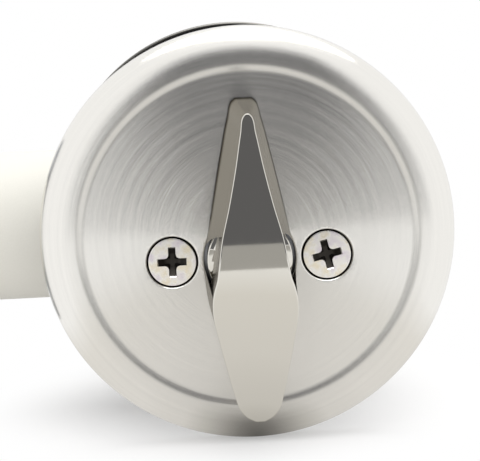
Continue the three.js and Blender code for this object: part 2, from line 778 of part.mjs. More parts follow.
// Latch cam: hub turned by the blade, with a fork that swings the tail pin across
function makeCam() {
  const steps = 10;
  const clear = tailPinRadius + slimGap;
  const tip = crankHeight * Math.SQRT2 + camForkReach;
  const sides = Array.from({ length: steps + 1 }, (_, i) => slotEdge(i / steps, clear));
  const slot = [
    ...sides,
    [clear, tip + cutOverrun],
    [-clear, tip + cutOverrun],
    ...sides.slice(1).map(([x, z]) => [-x, z]).reverse(),
  ];
  const half = camForkHalfWidth;
  const fork = [
    [-half, 0], [half, 0], [half, tip - camTipChamfer], [half - camTipChamfer, tip],
    [camTipChamfer - half, tip], [-half, tip - camTipChamfer],
  ];
  const angle = Math.PI / 4;
  const turned = ([x, z]) => [
    x * Math.cos(angle) + z * Math.sin(angle),
    spindleZ - x * Math.sin(angle) + z * Math.cos(angle),
  ];
  let cam = plateY(polygon(fork.map(turned)), -camHalf, camHalf);
  cam = cam.add(barY(camHubRadius, fitGap - caseHalfGap, caseHalfGap - fitGap, 0, spindleZ));
  cam = cam.subtract(plateY(polygon(slot.map(turned)), -camHalf - cutOverrun, camHalf + cutOverrun));
  const journal = caseSide + fitGap;
  cam = cam.add(barY(camJournalRadius, -journal, journal, 0, spindleZ));
  const [halfX, halfZ] = [bladeThickness / 2 + fitGap, bladeWidth / 2 + fitGap];
  cam = cam.subtract(block(
    -halfX, halfX, -journal - cutOverrun, journal + cutOverrun, spindleZ - halfZ, spindleZ + halfZ));
  place('latch_cam', cam, plainSteel);
}

// Case plate: flat steel side that carries the cam and tucks into the tube
function makeCasePlate(name, side) {
  const [w, h, tongue] = [caseRear, caseHeight / 2, caseTongueHeight / 2];
  const front = fitGap - tubeEnd;
  const outline = [
    [front - caseTongueLength, -tongue],
    [front, -tongue],
    [front, -h],
    [w - caseCorner, -h],
    [w, caseCorner - h],
    [w, h - caseCorner],
    [w - caseCorner, h],
    [front, h],
    [front, tongue],
    [front - caseTongueLength, tongue],
  ];
  const [near, far] = [side * caseHalfGap, side * caseSide];
  let plate = plateY(polygon(outline), near, far);
  const [low, high] = [Math.min(near, far) - cutOverrun, Math.max(near, far) + cutOverrun];
  plate = plate.subtract(barY(camJournalRadius + fitGap, low, high, 0, spindleZ));
  for (const x of [-screwX, screwX]) {
    plate = plate.subtract(barY(screwHoleRadius, low, high, x, spindleZ));
  }
  for (const z of rivetPlaces) {
    plate = plate.subtract(barY(rivetRadius + slimGap, low, high, rivetX, z, pinFacets));
  }
  place(name, plate, plainSteel);
}

// Case rivet: a spacer between the plates with a head outside each
function makeCaseRivet(name, z) {
  const plateOutside = caseSide + slimGap;
  const headOutside = plateOutside + rivetHeadHeight;
  const profile = [
    [0, -headOutside], [rivetHeadRadius, -headOutside], [rivetHeadRadius, -plateOutside],
    [rivetRadius, -plateOutside], [rivetRadius, slimGap - caseHalfGap],
    [rivetHeadRadius, slimGap - caseHalfGap], [rivetHeadRadius, caseHalfGap - slimGap],
    [rivetRadius, caseHalfGap - slimGap], [rivetRadius, plateOutside],
    [rivetHeadRadius, plateOutside], [rivetHeadRadius, headOutside], [0, headOutside],
  ];
  place(name, revolve(profile, pinFacets).translate(rivetX, 0, z), plainSteel);
}

// Collar: a tapered steel guard round the key cylinder
function makeCollar() {
  const frontR = collarFrontRadius - collarFrontRound;
  const edge = outsideFace + collarEdgeHeight;
  const frontEdge = collarFace - collarFrontRound;
  const steps = 3;
  const mouthBack = collarFace - collarLip;
  const innerFront = collarFrontRadius - collarWall;
  const collar = revolve([
    [collarRadius - collarWall, outsideFace],
    [collarRadius, outsideFace],
    [collarRadius, edge],
    ...arcPoints(frontR, frontEdge, collarFrontRound, collarFrontRound, 0, 1, steps),
    [collarMouthRadius, collarFace],
    [collarMouthRadius, mouthBack],
    [innerFront - collarWall, mouthBack],
    [innerFront, mouthBack - collarWall],
    [collarRadius - collarWall, edge],
    [collarRadius - collarWall, outsideFace],
  ], rimFacets);
  place('exterior_collar', collar, steel);
}

// Cylinder body: a round face plate, the barrel round the plug and the pin chambers' block
function makeCylinderBody() {
  const flangeBack = bodyFace - bodyFlange;
  const shoulder = bodyFaceRadius + bodyShoulderWidth;
  let body = revolve([
    [0, flangeBack - bodyShoulderWidth],
    [shoulder, flangeBack - bodyShoulderWidth],
    [shoulder, shoulderY],
    [bodyFaceRadius, shoulderY],
    [bodyFaceRadius, bodyFace - bodyFaceProud],
    [bodyFaceRadius - bodyFaceProud, bodyFace],
    [0, bodyFace],
  ], rimFacets);
  const inFlange = flangeBack - slimGap;
  body = body.add(barY(barrelRadius, bodyRear, inFlange, 0, spindleZ, tubeFacets));
  body = body.add(block(-bibleWidth / 2, bibleWidth / 2, bodyRear, inFlange, spindleZ, bibleTop));
  for (const x of [-screwX, screwX]) {
    body = body.add(barY(bossRadius, bossRear, inFlange, x, spindleZ));
  }
  const [low, high] = [bodyRear - cutOverrun, bodyFace + cutOverrun];
  body = body.subtract(barY(plugRadius + plugGap, low, high, 0, spindleZ, tubeFacets));
  for (const x of [-screwX, screwX]) {
    body = body.subtract(barY(postRadius + slimGap, low, bossRear + postSeat, x, spindleZ));
  }
  for (let i = 0; i < pinCount; i += 1) {
    body = body.subtract(barZ(pinRadius + fitGap, spindleZ, bibleTop + cutOverrun, 0, pinY(i)));
  }
  body = body.subtract(block(
    -coverWidth / 2 - fitGap, coverWidth / 2 + fitGap, coverStart - fitGap, coverEnd + fitGap,
    coverBottom - slimGap, bibleTop + cutOverrun));
  place('cylinder_body', body, castZinc);
}

// Plug: a round brass core with a stepped keyway, pin chambers and a drive lug behind
function makePlug() {
  let plug = barY(plugRadius, plugEnd, plugFace, 0, spindleZ, tubeFacets);
  const [lugStart, lugEnd] = [-Math.PI / 2 - lugHalfAngle, -Math.PI / 2 + lugHalfAngle];
  const lug = sectorShape(driveLugInner, driveLugOuter, lugStart, lugEnd);
  plug = plug.add(plateY(lug, plugEnd - driveLugHeight, plugEnd + slimGap, cornerFacets));
  const [half, low] = [keywayWidth / 2, spindleZ - plugRadius - cutOverrun];
  const bend = spindleZ - keywayStepHeight;
  const keyway = polygon([
    [-half - keywayStep, low], [half - keywayStep, low], [half - keywayStep, bend - keywayStepHeight],
    [half, bend - keywayStepHeight], [half, spindleZ + keywayTop], [-half, spindleZ + keywayTop],
    [-half, bend], [-half - keywayStep, bend],
  ]);
  plug = plug.subtract(plateY(keyway, plugEnd + capWall, plugFace + cutOverrun));
  for (let i = 0; i < pinCount; i += 1) {
    plug = plug.subtract(barZ(pinRadius + fitGap, spindleZ, spindleZ + plugRadius + cutOverrun, 0, pinY(i)));
  }
  place('cylinder_plug', plug, brass);
}

// Plug cap: a cup on the plug's rear end that holds plug and tailpiece in place
function makePlugCap() {
  const inner = plugRadius + slimGap;
  const cap = revolve([
    [inner, capOpen], [inner + capWall, capOpen], [inner + capWall, capOutside],
    [capMouthRadius, capOutside], [capMouthRadius, capInside], [inner, capInside], [inner, capOpen],
  ], tubeFacets);
  place('plug_cap', cap.translate(0, 0, spindleZ), plainSteel);
}

// Key pins, standing at the plug's surface as the right key holds them
function makeKeyPin(i) {
  const top = spindleZ + Math.sqrt(plugRadius ** 2 - (pinRadius + fitGap) ** 2) - slimGap;
  const length = keyCutLengthShares[i % keyCutLengthShares.length] * (plugRadius - slimGap);
  const bottom = top - length;
  const profile = [
    [0, bottom], [pinRadius - pinTip, bottom], [pinRadius, bottom + pinTip], [pinRadius, top], [0, top],
  ];
  const geometry = new THREE.LatheGeometry(profile.map(([r, y]) => new THREE.Vector2(r, y)), pinFacets);
  geometry.rotateX(Math.PI / 2);
  geometry.translate(0, pinY(i), 0);
  place(`key_pin_${i + 1}`, toSolid(geometry), brass);
}

// Driver pin above it, pressed down by its spring
function makeDriverPin(i) {
  place(`driver_pin_${i + 1}`, barZ(pinRadius, driverBottom, driverTop, 0, pinY(i)), springSteel);
}

// Helical spring, drawn as one unbroken tube
function makeSpring(i) {
  const stepsPerTurn = 7;
  const sides = 4;
  const steps = springTurns * stepsPerTurn;
  const rise = springLength - springWire;
  const rings = Array.from({ length: steps + 1 }, (_, step) => {
    const angle = (step / stepsPerTurn) * 2 * Math.PI;
    const z = springBottom + rise * step / steps;
    return Array.from({ length: sides }, (_, side) => {
      const round = (side / sides) * 2 * Math.PI;
      const r = springRadius + springWire / 2 * Math.cos(round);
      return [r * Math.cos(angle), pinY(i) + r * Math.sin(angle), z + springWire / 2 * Math.sin(round)];
    });
  });
  place(`pin_spring_${i + 1}`, tubeThrough(rings), springSteel);
}

// Tube through rings of points, with a fan across each end
function tubeThrough(rings) {
  const sides = rings[0].length;
  const corners = rings.flat().flat();
  const faces = [];
  for (let ring = 0; ring + 1 < rings.length; ring += 1) {
    for (let side = 0; side < sides; side += 1) {
      const [a, b] = [ring * sides + side, ring * sides + (side + 1) % sides];
      faces.push(a, b, b + sides, a, b + sides, a + sides);
    }
  }
  const last = (rings.length - 1) * sides;
  for (let side = 1; side + 1 < sides; side += 1) {
    faces.push(0, side + 1, side);
    faces.push(last, last + side, last + side + 1);
  }
  const geometry = new THREE.BufferGeometry();
  geometry.setAttribute('position', new THREE.BufferAttribute(new Float32Array(corners), 3));
  geometry.setIndex(faces);
  return toSolid(geometry);
}

// Cover strip that closes the pin chambers
function makeChamberCover() {
  const half = coverWidth / 2;
  const strip = block(-half, half, coverStart, coverEnd, coverBottom, bibleTop - slimGap);
  place('pin_chamber_cover', strip, brass);
}

// Screw post: threaded sleeve set in the cylinder body, which a mounting screw draws up
function makeScrewPost(name, x) {
  const bore = screwRadius + fitGap;
  const rear = bossRear + postSeat - fitGap;
  const post = revolve([
    [bore, postEnd], [postRadius, postEnd], [postRadius, rear], [bore, rear], [bore, postEnd],
  ], shaftFacets);
  place(name, post.translate(x, 0, spindleZ), plainSteel);
}

makeRose();
makeBackingPlate();
makeMountingScrew('mounting_screw_left', -screwX, 0);
makeMountingScrew('mounting_screw_right', screwX, Math.PI / 15);
makeThumbturn();
makeWasher();
makeRetainingRing();
makeTailpiece();
makeFaceplate();
makeBacker();
makeTube();
makeLabel();
makeBolt();
makeArmourPin();
makeTail();
makeTailPin();
makeCam();
makeCasePlate('latch_case_near', -1);
makeCasePlate('latch_case_far', 1);
makeCaseRivet('case_rivet_upper', rivetPlaces[0]);
makeCaseRivet('case_rivet_lower', rivetPlaces[1]);
makeCollar();
makeCylinderBody();
makePlug();
makePlugCap();
for (let i = 0; i < pinCount; i += 1) {
  makeKeyPin(i);
  makeDriverPin(i);
  makeSpring(i);
}
makeChamberCover();
makeScrewPost('screw_post_left', -screwX);
makeScrewPost('screw_post_right', screwX);

export default lock;
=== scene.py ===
import math

import bmesh
import bpy
import numpy as np
from mathutils import Matrix, Vector


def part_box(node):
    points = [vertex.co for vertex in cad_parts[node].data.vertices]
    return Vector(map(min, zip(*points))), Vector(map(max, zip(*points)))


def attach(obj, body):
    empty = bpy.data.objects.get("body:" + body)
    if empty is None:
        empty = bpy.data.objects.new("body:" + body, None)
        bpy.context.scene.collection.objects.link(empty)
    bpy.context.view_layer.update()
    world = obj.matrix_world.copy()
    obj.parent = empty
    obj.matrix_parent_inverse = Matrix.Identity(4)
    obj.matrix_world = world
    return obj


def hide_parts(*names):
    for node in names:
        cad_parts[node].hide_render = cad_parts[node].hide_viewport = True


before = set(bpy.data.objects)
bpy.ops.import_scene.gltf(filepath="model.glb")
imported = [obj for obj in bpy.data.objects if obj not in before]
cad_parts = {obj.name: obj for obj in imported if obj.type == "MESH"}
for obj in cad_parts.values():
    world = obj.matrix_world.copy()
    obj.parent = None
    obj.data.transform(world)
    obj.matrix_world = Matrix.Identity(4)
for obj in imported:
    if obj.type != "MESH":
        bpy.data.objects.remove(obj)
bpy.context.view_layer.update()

MM = 0.001

# Camera: a long lens a little above and to the left of the thumbturn, rolled slightly.
# Its place is measured from the centre of the rose's seat on the door.
FRAME_WIDTH = 480
SENSOR_MM = 36
CAMERA_FOCAL_PIXELS = 1571
CAMERA_PLACE_MM = (-9.7, -245, 35.7)
CAMERA_YAW = math.radians(2.0)
CAMERA_PITCH = math.radians(8.2)
CAMERA_ROLL = math.radians(-2.6)


def aim_camera():
    seat_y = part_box("interior_rose")[1][1]
    forward = Vector((math.sin(CAMERA_YAW) * math.cos(CAMERA_PITCH),
                      math.cos(CAMERA_YAW) * math.cos(CAMERA_PITCH), -math.sin(CAMERA_PITCH)))
    level = Vector((math.cos(CAMERA_YAW), -math.sin(CAMERA_YAW), 0))
    up = level.cross(forward)
    right = math.cos(CAMERA_ROLL) * level + math.sin(CAMERA_ROLL) * up
    up = right.cross(forward)
    turn = Matrix((right, up, -forward)).transposed().to_4x4()
    lens = bpy.data.cameras.new("photo_camera")
    lens.sensor_width = SENSOR_MM
    lens.lens = CAMERA_FOCAL_PIXELS * SENSOR_MM / FRAME_WIDTH
    lens.clip_start = 0.01
    lens.clip_end = 20
    camera = bpy.data.objects.new("photo_camera", lens)
    place = Vector(CAMERA_PLACE_MM) * MM + Vector((0, seat_y, 0))
    camera.matrix_world = Matrix.Translation(place) @ turn
    bpy.context.collection.objects.link(camera)
    bpy.context.scene.camera = camera


aim_camera()


# Floor and studio: a sheet of white paper under the lock in a white room, with a softbox above.
# In the metal's reflections only, the paper glows with painted shade that darkens towards the lock,
# and glowing cards paint reflections: a grey strip across the paper as a painted shadow, a grey
# screen in front of the lock and a darker one behind it.
FLOOR_DROP_MM = 0.2
FLOOR_FRONT_MM = 250
FLOOR_BACK_MM = 900
FLOOR_HALF_WIDTH_MM = 900
FLOOR_WHITE = "F4F3F2"
SHADE_NEAR_MM = 28
SHADE_FAR_MM = 58
SCREEN_GREY = "676769"
SCREEN_LEFT_MM = -38
SCREEN_RIGHT_MM = 66
SCREEN_HEIGHT_MM = 128
REAR_SCREEN_GREY = "3A3A3C"
REAR_SCREEN_HALF_MM = 60
REAR_SCREEN_HEIGHT_MM = 100
STRIP_GREY = "B0AFAC"
STRIP_LEFT_MM = -9
STRIP_RIGHT_MM = 28
STRIP_BACK_MM = 198
STRIP_REST_MM = 0.3
STRIP_LIFT_MM = 3.2
SOFTBOX_PLACE_MM = (40, -40, 420)
SOFTBOX_SIDE_MM = 420
SOFTBOX_WATTS = 1.4
ROOM_LIGHT = 0.9

# Painted shade: the tone the paper glows with in the metal's reflections, by the distance from
# the lock in millimetres. To the sides a distance counts more, by the squeeze.
MIRRORED_SHADE = [(0, "555452"), (12, "807E7B"), (30, "BCBAB6"), (46, "DAD8D5"), (80, "E5E3E0"),
                  (150, "EAE8E4"), (220, "FFFFFF")]
MIRRORED_SQUEEZE = 3.6


# Colours are written as on a colour sheet and turned to the linear values that light needs.
def linear(sheet_colour):
    channels = [int(sheet_colour[i:i + 2], 16) / 255 for i in (0, 2, 4)]
    low, bend, slope = 0.04045, 12.92, 1.055
    return tuple(c / bend if c <= low else ((c + slope - 1) / slope) ** 2.4 for c in channels) + (1,)


# A node with its settings; an input is given a value or the output that feeds it.
def add(tree, kind, inputs=None, **settings):
    node = tree.nodes.new(kind)
    for name, value in settings.items():
        setattr(node, name, value)
    for socket, value in (inputs or {}).items():
        if isinstance(value, bpy.types.NodeSocket):
            tree.links.new(value, node.inputs[socket])
        else:
            node.inputs[socket].default_value = value
    return node


def new_material(name):
    material = bpy.data.materials.new(name)
    material.use_nodes = True
    tree = material.node_tree
    return material, tree, tree.nodes["Principled BSDF"]


def mesh_object(name, points, faces, material=None):
    mesh = bpy.data.meshes.new(name)
    mesh.from_pydata([tuple(p) for p in points], [], faces)
    mesh.update()
    thing = bpy.data.objects.new(name, mesh)
    bpy.context.collection.objects.link(thing)
    if material:
        mesh.materials.append(material)
    return thing


def white_paper_sheet():
    material, tree, shader = new_material("white_backdrop_paper")
    shader.inputs["Base Color"].default_value = linear(FLOOR_WHITE)
    shader.inputs["Roughness"].default_value = 0.9
    shader.inputs["Specular IOR Level"].default_value = 0.1
    place = add(tree, "ShaderNodeTexCoord")
    distance = add(tree, "ShaderNodeVectorMath", {0: place.outputs["Object"]}, operation="LENGTH")
    spread = add(tree, "ShaderNodeMapRange", {"Value": distance.outputs["Value"],
                                              "From Min": SHADE_NEAR_MM * MM,
                                              "From Max": SHADE_FAR_MM * MM},
                 interpolation_type="SMOOTHSTEP")
    path = add(tree, "ShaderNodeLightPath")
    share = add(tree, "ShaderNodeMath", {0: path.outputs["Is Camera Ray"], 1: spread.outputs["Result"]},
                operation="MULTIPLY")
    plain = add(tree, "ShaderNodeEmission", {"Color": (1, 1, 1, 1), "Strength": 1})
    seen = add(tree, "ShaderNodeMixShader", {0: share.outputs[0], 1: shader.outputs[0],
                                             2: plain.outputs[0]})
    seat = add(tree, "ShaderNodeMapping", {"Vector": place.outputs["Object"],
                                           "Location": (0, -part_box("interior_rose")[1][1], 0),
                                           "Scale": (MIRRORED_SQUEEZE, 1, 0)})
    reach = add(tree, "ShaderNodeVectorMath", {0: seat.outputs[0]}, operation="LENGTH")
    # Painted shade for glossy rays: the paper glows darker towards the lock.
    far = MIRRORED_SHADE[-1][0] * MM
    along = add(tree, "ShaderNodeMath", {0: reach.outputs["Value"], 1: 1 / far}, operation="MULTIPLY")
    fade = add(tree, "ShaderNodeValToRGB", {0: along.outputs[0]})
    for i, (distance_mm, shade) in enumerate(MIRRORED_SHADE):
        stop = fade.color_ramp.elements[i] if i < 2 else fade.color_ramp.elements.new(1)
        stop.position, stop.color = distance_mm * MM / far, linear(shade)
    mirrored = add(tree, "ShaderNodeEmission", {"Color": fade.outputs["Color"], "Strength": 1})
    both = add(tree, "ShaderNodeMixShader", {0: path.outputs["Is Glossy Ray"], 1: seen.outputs[0],
                                             2: mirrored.outputs[0]})
    tree.links.new(both.outputs[0], tree.nodes["Material Output"].inputs["Surface"])
    return material


# A card that glows a fixed colour, though it is no lamp: a painted reflection or shadow in the metal.
def glow_card(name, colour):
    material, tree, shader = new_material(name)
    tree.nodes.remove(shader)
    glow = add(tree, "ShaderNodeEmission", {"Color": linear(colour), "Strength": 1})
    tree.links.new(glow.outputs[0], tree.nodes["Material Output"].inputs["Surface"])
    return material


def card(name, corners_mm, material, only_reflected=True):
    points = [Vector(c) * MM for c in corners_mm]
    sheet = mesh_object(name, points, [tuple(range(len(points)))], material)
    if only_reflected:
        sheet.visible_camera = False
        sheet.visible_diffuse = False
        sheet.visible_shadow = False
        sheet.visible_transmission = False


# Corners of a card that lies flat or slopes from its near edge to its far one.
def lying(left, right, near, far, near_z, far_z):
    return [(left, near, near_z), (right, near, near_z), (right, far, far_z), (left, far, far_z)]


# Corners of a card that stands across the view.
def upright(left, right, y, low, high):
    return [(left, y, low), (right, y, low), (right, y, high), (left, y, high)]


def hang_softbox():
    lamp = bpy.data.lights.new("softbox_overhead", "AREA")
    lamp.shape = "RECTANGLE"
    lamp.size = SOFTBOX_SIDE_MM * MM
    lamp.size_y = SOFTBOX_SIDE_MM * MM
    lamp.energy = SOFTBOX_WATTS
    box = bpy.data.objects.new("softbox_overhead", lamp)
    box.location = Vector(SOFTBOX_PLACE_MM) * MM
    box.rotation_euler = (-Vector(SOFTBOX_PLACE_MM)).to_track_quat("-Z", "Y").to_euler()
    box.visible_camera = False
    bpy.context.collection.objects.link(box)


def light_room():
    world = bpy.data.worlds.new("white_room")
    bpy.context.scene.world = world
    world.use_nodes = True
    tree = world.node_tree
    path = add(tree, "ShaderNodeLightPath")
    seen = add(tree, "ShaderNodeMath", {0: path.outputs["Is Camera Ray"],
                                        1: path.outputs["Is Glossy Ray"]}, operation="MAXIMUM")
    clear = add(tree, "ShaderNodeMath", {0: seen.outputs[0], 1: path.outputs["Is Transmission Ray"]},
                operation="MAXIMUM")
    level = add(tree, "ShaderNodeMapRange", {"Value": clear.outputs[0], "To Min": ROOM_LIGHT,
                                             "To Max": 1.0})
    background = tree.nodes["Background"]
    background.inputs["Color"].default_value = (1, 1, 1, 1)
    tree.links.new(level.outputs["Result"], background.inputs["Strength"])


def build_studio():
    seat_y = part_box("interior_rose")[1][1] / MM
    floor_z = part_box("interior_rose")[0][2] / MM - FLOOR_DROP_MM
    near, far, side = seat_y - FLOOR_FRONT_MM, seat_y + FLOOR_BACK_MM, FLOOR_HALF_WIDTH_MM
    card("floor", lying(-side, side, near, far, floor_z, floor_z), white_paper_sheet(),
         only_reflected=False)
    # These cards show only in reflections: the screens are painted reflections, the strip a painted
    # shadow.
    card("screen", upright(SCREEN_LEFT_MM, SCREEN_RIGHT_MM, near, floor_z, floor_z + SCREEN_HEIGHT_MM),
         glow_card("grey_screen_painted_reflection", SCREEN_GREY))
    level = floor_z + STRIP_REST_MM
    card("floor_strip", lying(STRIP_LEFT_MM, STRIP_RIGHT_MM, near, seat_y - STRIP_BACK_MM,
                              level + STRIP_LIFT_MM, level),
         glow_card("grey_floor_strip_painted_shadow", STRIP_GREY))
    card("rear_screen", upright(-REAR_SCREEN_HALF_MM, REAR_SCREEN_HALF_MM, seat_y + FLOOR_FRONT_MM,
                                floor_z, floor_z + REAR_SCREEN_HEIGHT_MM),
         glow_card("dark_rear_screen_painted_reflection", REAR_SCREEN_GREY))
    hang_softbox()
    light_room()


bpy.context.scene.view_settings.view_transform = "Standard"
build_studio()


# Rose: the round cover on the thumbturn side, pressed from stainless sheet. It is brushed in
# circles as it spins, has a flat disc inside a raised, rounded rim, and covers the door's bore.
SEAT_Y_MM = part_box("interior_rose")[1][1] / MM
ROSE_RADIUS_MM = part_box("interior_rose")[1][0] / MM
ROSE_EDGE_MM = 1.2
ROSE_DISC_MM = 5.4
ROSE_RING_MM = ROSE_RADIUS_MM - 6.9
ROSE_FLANK_MM = 1.05
ROSE_FLANK_RISE_MM = 0.19
ROSE_CREST_MM = 0.6
ROSE_DOME_POWER = 2.7
ROSE_WALL_MM = 1.6
ROSE_FILLET_MM = 4
SPINDLE_Z_MM = -3.3
SPINDLE_MM = (0, 0, SPINDLE_Z_MM)
SCREW_X_MM = 12
SCREW_HOLE_MM = 2.9
SINK_RADIUS_MM = 4.12
SINK_ROUND_MM = 0.16
HUB_HOLE_MM = 7.1
HUB_HOLE_ROUND_MM = 0.25
CUT_PAST_MM = 1
LATHE_STEPS = 256
STEEL_COLOUR = "F2F0EB"
BRUSH_PITCH_MM = 0.1
BRUSH_BAND_MM = 0.769
BRUSH_DEPTH_MM = 0.009
BRUSHED_ROUGHNESS = (0.13, 0.17)
BRUSHED_TONE = (0.95, 1.03)
NOISE_SUM_LOW = 0.6
NOISE_SUM_HIGH = 1.4
SHADOWED_STEEL = "3B3936"
SHADOW_REACH_MM = 20
SHADOW_FADE_MM = 2
SHADOW_START_MM = 0.04
SHADOW_FULL_MM = 0.2


# A corner gives its place and, where it is rounded, the radius.
def rounded(corners, steps=5):
    points = []
    for i, corner in enumerate(corners):
        here = Vector(corner[:2])
        rounding = corner[2] if len(corner) > 2 else 0
        if not rounding:
            points.append(tuple(here))
            continue
        back = (Vector(corners[i - 1][:2]) - here).normalized()
        onward = (Vector(corners[(i + 1) % len(corners)][:2]) - here).normalized()
        half = back.angle(onward) / 2
        middle = here + (back + onward).normalized() * rounding / math.sin(half)
        start = (here + back * rounding / math.tan(half) - middle).normalized()
        end = (here + onward * rounding / math.tan(half) - middle).normalized()
        for step in range(steps + 1):
            points.append(tuple(middle + start.slerp(end, step / steps) * rounding))
    return points


# A quarter of an oval. A power above 2 draws its shoulder out squarer.
def quarter(centre, reach_r, reach_h, start, stop, steps, power=2):
    angles = [math.pi / 2 * (start + (stop - start) * i / steps) for i in range(steps + 1)]
    return [(centre[0] + reach_r * abs(math.cos(a)) ** (2 / power),
             centre[1] + reach_h * abs(math.sin(a)) ** (2 / power)) for a in angles]


def object_from(work, name, place_mm=(0, 0, 0)):
    bmesh.ops.recalc_face_normals(work, faces=work.faces)
    bmesh.ops.translate(work, verts=work.verts, vec=place_mm)
    bmesh.ops.scale(work, verts=work.verts, vec=(MM, MM, MM))
    mesh = bpy.data.meshes.new(name)
    work.to_mesh(mesh)
    work.free()
    thing = bpy.data.objects.new(name, mesh)
    bpy.context.collection.objects.link(thing)
    return thing


# A turned shape. The profile gives a radius and a place along the axis for each corner.
def turned(name, profile, centre_mm=(0, 0, 0), axis="Y", steps=LATHE_STEPS, closed=False):
    lay = {"X": lambda r, h, c, s: (h, r * c, r * s),
           "Y": lambda r, h, c, s: (r * c, h, r * s),
           "Z": lambda r, h, c, s: (r * c, r * s, h)}[axis]
    work = bmesh.new()
    angles = [2 * math.pi * i / steps for i in range(steps)]
    rings = [[work.verts.new(lay(r, h, math.cos(a), math.sin(a))) for a in angles] for r, h in profile]
    pairs = list(zip(rings, rings[1:] + rings[:1]))
    for lower, upper in pairs if closed else pairs[:-1]:
        for i in range(steps):
            j = (i + 1) % steps
            work.faces.new((lower[i], lower[j], upper[j], upper[i]))
    bmesh.ops.remove_doubles(work, verts=work.verts, dist=1e-5)
    bmesh.ops.dissolve_degenerate(work, edges=work.edges, dist=1e-6)
    return object_from(work, name, centre_mm)


# What the modifiers do is worked into a plain mesh.
def settle(thing):
    graph = bpy.context.evaluated_depsgraph_get()
    mesh = bpy.data.meshes.new_from_object(thing.evaluated_get(graph), depsgraph=graph)
    thing.modifiers.clear()
    mesh.name = thing.name
    thing.data = mesh
    return thing


def combine(thing, tools, operation="DIFFERENCE"):
    for tool in tools:
        change = thing.modifiers.new(tool.name, "BOOLEAN")
        change.operation = operation
        change.solver = "EXACT"
        change.object = tool
    settle(thing)
    work = bmesh.new()
    work.from_mesh(thing.data)
    bmesh.ops.remove_doubles(work, verts=work.verts, dist=0.002 * MM)
    bmesh.ops.dissolve_degenerate(work, edges=work.edges, dist=0.001 * MM)
    bmesh.ops.delete(work, geom=[edge for edge in work.edges if edge.is_wire], context="EDGES")
    work.to_mesh(thing.data)
    work.free()
    for tool in tools:
        bpy.data.objects.remove(tool)
    return thing


def smooth(thing, crease=32):
    for face in thing.data.polygons:
        face.use_smooth = True
    thing.data.set_sharp_from_angle(angle=math.radians(crease))
    weigh = thing.modifiers.new("weighted_normals", "WEIGHTED_NORMAL")
    weigh.mode = "FACE_AREA_WITH_ANGLE"
    weigh.keep_sharp = True
    return settle(thing)


def hand_in(thing, material, body, slot, *nodes):
    thing.data.materials.clear()
    thing.data.materials.append(material)
    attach(thing, body)
    if nodes:
        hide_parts(*nodes)
    return thing


# The scale at which a pattern's grain has this size.
def scale_for(size_mm):
    return 1 / (size_mm * MM)


# Satin stainless steel, brushed in circles: fine rings of unequal depth that draw each
# highlight out into a radial fan. They are drawn wider than the real ones, so that they show.
def ring_brushed_steel(name, colour):
    material, tree, shader = new_material(name)
    place = add(tree, "ShaderNodeTexCoord")
    axes = add(tree, "ShaderNodeSeparateXYZ", {0: place.outputs["Object"]})
    flat = add(tree, "ShaderNodeCombineXYZ", {0: axes.outputs["X"], 1: axes.outputs["Z"]})
    radius = add(tree, "ShaderNodeVectorMath", {0: flat.outputs[0]}, operation="LENGTH")
    heading = add(tree, "ShaderNodeVectorMath", {0: flat.outputs[0]}, operation="NORMALIZE")
    turns = add(tree, "ShaderNodeSeparateXYZ", {0: heading.outputs[0]})
    pitch = add(tree, "ShaderNodeMath", {0: radius.outputs["Value"], 1: scale_for(BRUSH_PITCH_MM)},
                operation="MULTIPLY")
    depth = add(tree, "ShaderNodeMath", {0: axes.outputs["Y"], 1: scale_for(BRUSH_PITCH_MM)},
                operation="MULTIPLY")
    rings = add(tree, "ShaderNodeMath", {0: pitch.outputs[0], 1: depth.outputs[0]}, operation="ADD")
    along = add(tree, "ShaderNodeCombineXYZ", {0: rings.outputs[0], 1: turns.outputs["X"],
                                               2: turns.outputs["Y"]})
    fine = add(tree, "ShaderNodeTexNoise", {"Vector": along.outputs[0], "Scale": 1.0, "Detail": 3.0,
                                            "Roughness": 0.6})
    wide = add(tree, "ShaderNodeTexNoise", {"Vector": along.outputs[0],
                                            "Scale": BRUSH_PITCH_MM / BRUSH_BAND_MM, "Detail": 2.0})
    both = add(tree, "ShaderNodeMath", {0: fine.outputs["Fac"], 1: wide.outputs["Fac"]},
               operation="ADD")
    rough = add(tree, "ShaderNodeMapRange", {"Value": both.outputs[0], "From Min": NOISE_SUM_LOW,
                                             "From Max": NOISE_SUM_HIGH,
                                             "To Min": BRUSHED_ROUGHNESS[0],
                                             "To Max": BRUSHED_ROUGHNESS[1]})
    tone = add(tree, "ShaderNodeMapRange", {"Value": both.outputs[0], "From Min": NOISE_SUM_LOW,
                                            "From Max": NOISE_SUM_HIGH, "To Min": BRUSHED_TONE[0],
                                            "To Max": BRUSHED_TONE[1]})
    shade = add(tree, "ShaderNodeVectorMath", {0: linear(colour)[:3], "Scale": tone.outputs["Result"]},
                operation="SCALE")
    relief = add(tree, "ShaderNodeBump", {"Height": fine.outputs["Fac"], "Strength": 1.0,
                                          "Distance": BRUSH_DEPTH_MM * MM})
    round_axis = add(tree, "ShaderNodeTangent", direction_type="RADIAL", axis="Y")
    tree.links.new(shade.outputs[0], shader.inputs["Base Color"])
    tree.links.new(rough.outputs["Result"], shader.inputs["Roughness"])
    tree.links.new(relief.outputs[0], shader.inputs["Normal"])
    tree.links.new(round_axis.outputs[0], shader.inputs["Tangent"])
    shader.inputs["Metallic"].default_value = 1
    shader.inputs["Anisotropic"].default_value = 1.0
    shader.inputs["Anisotropic Rotation"].default_value = 0.25
    return material


# Heights on the rose are measured from its seat on the door, towards the room.
def front(height_mm):
    return SEAT_Y_MM - height_mm
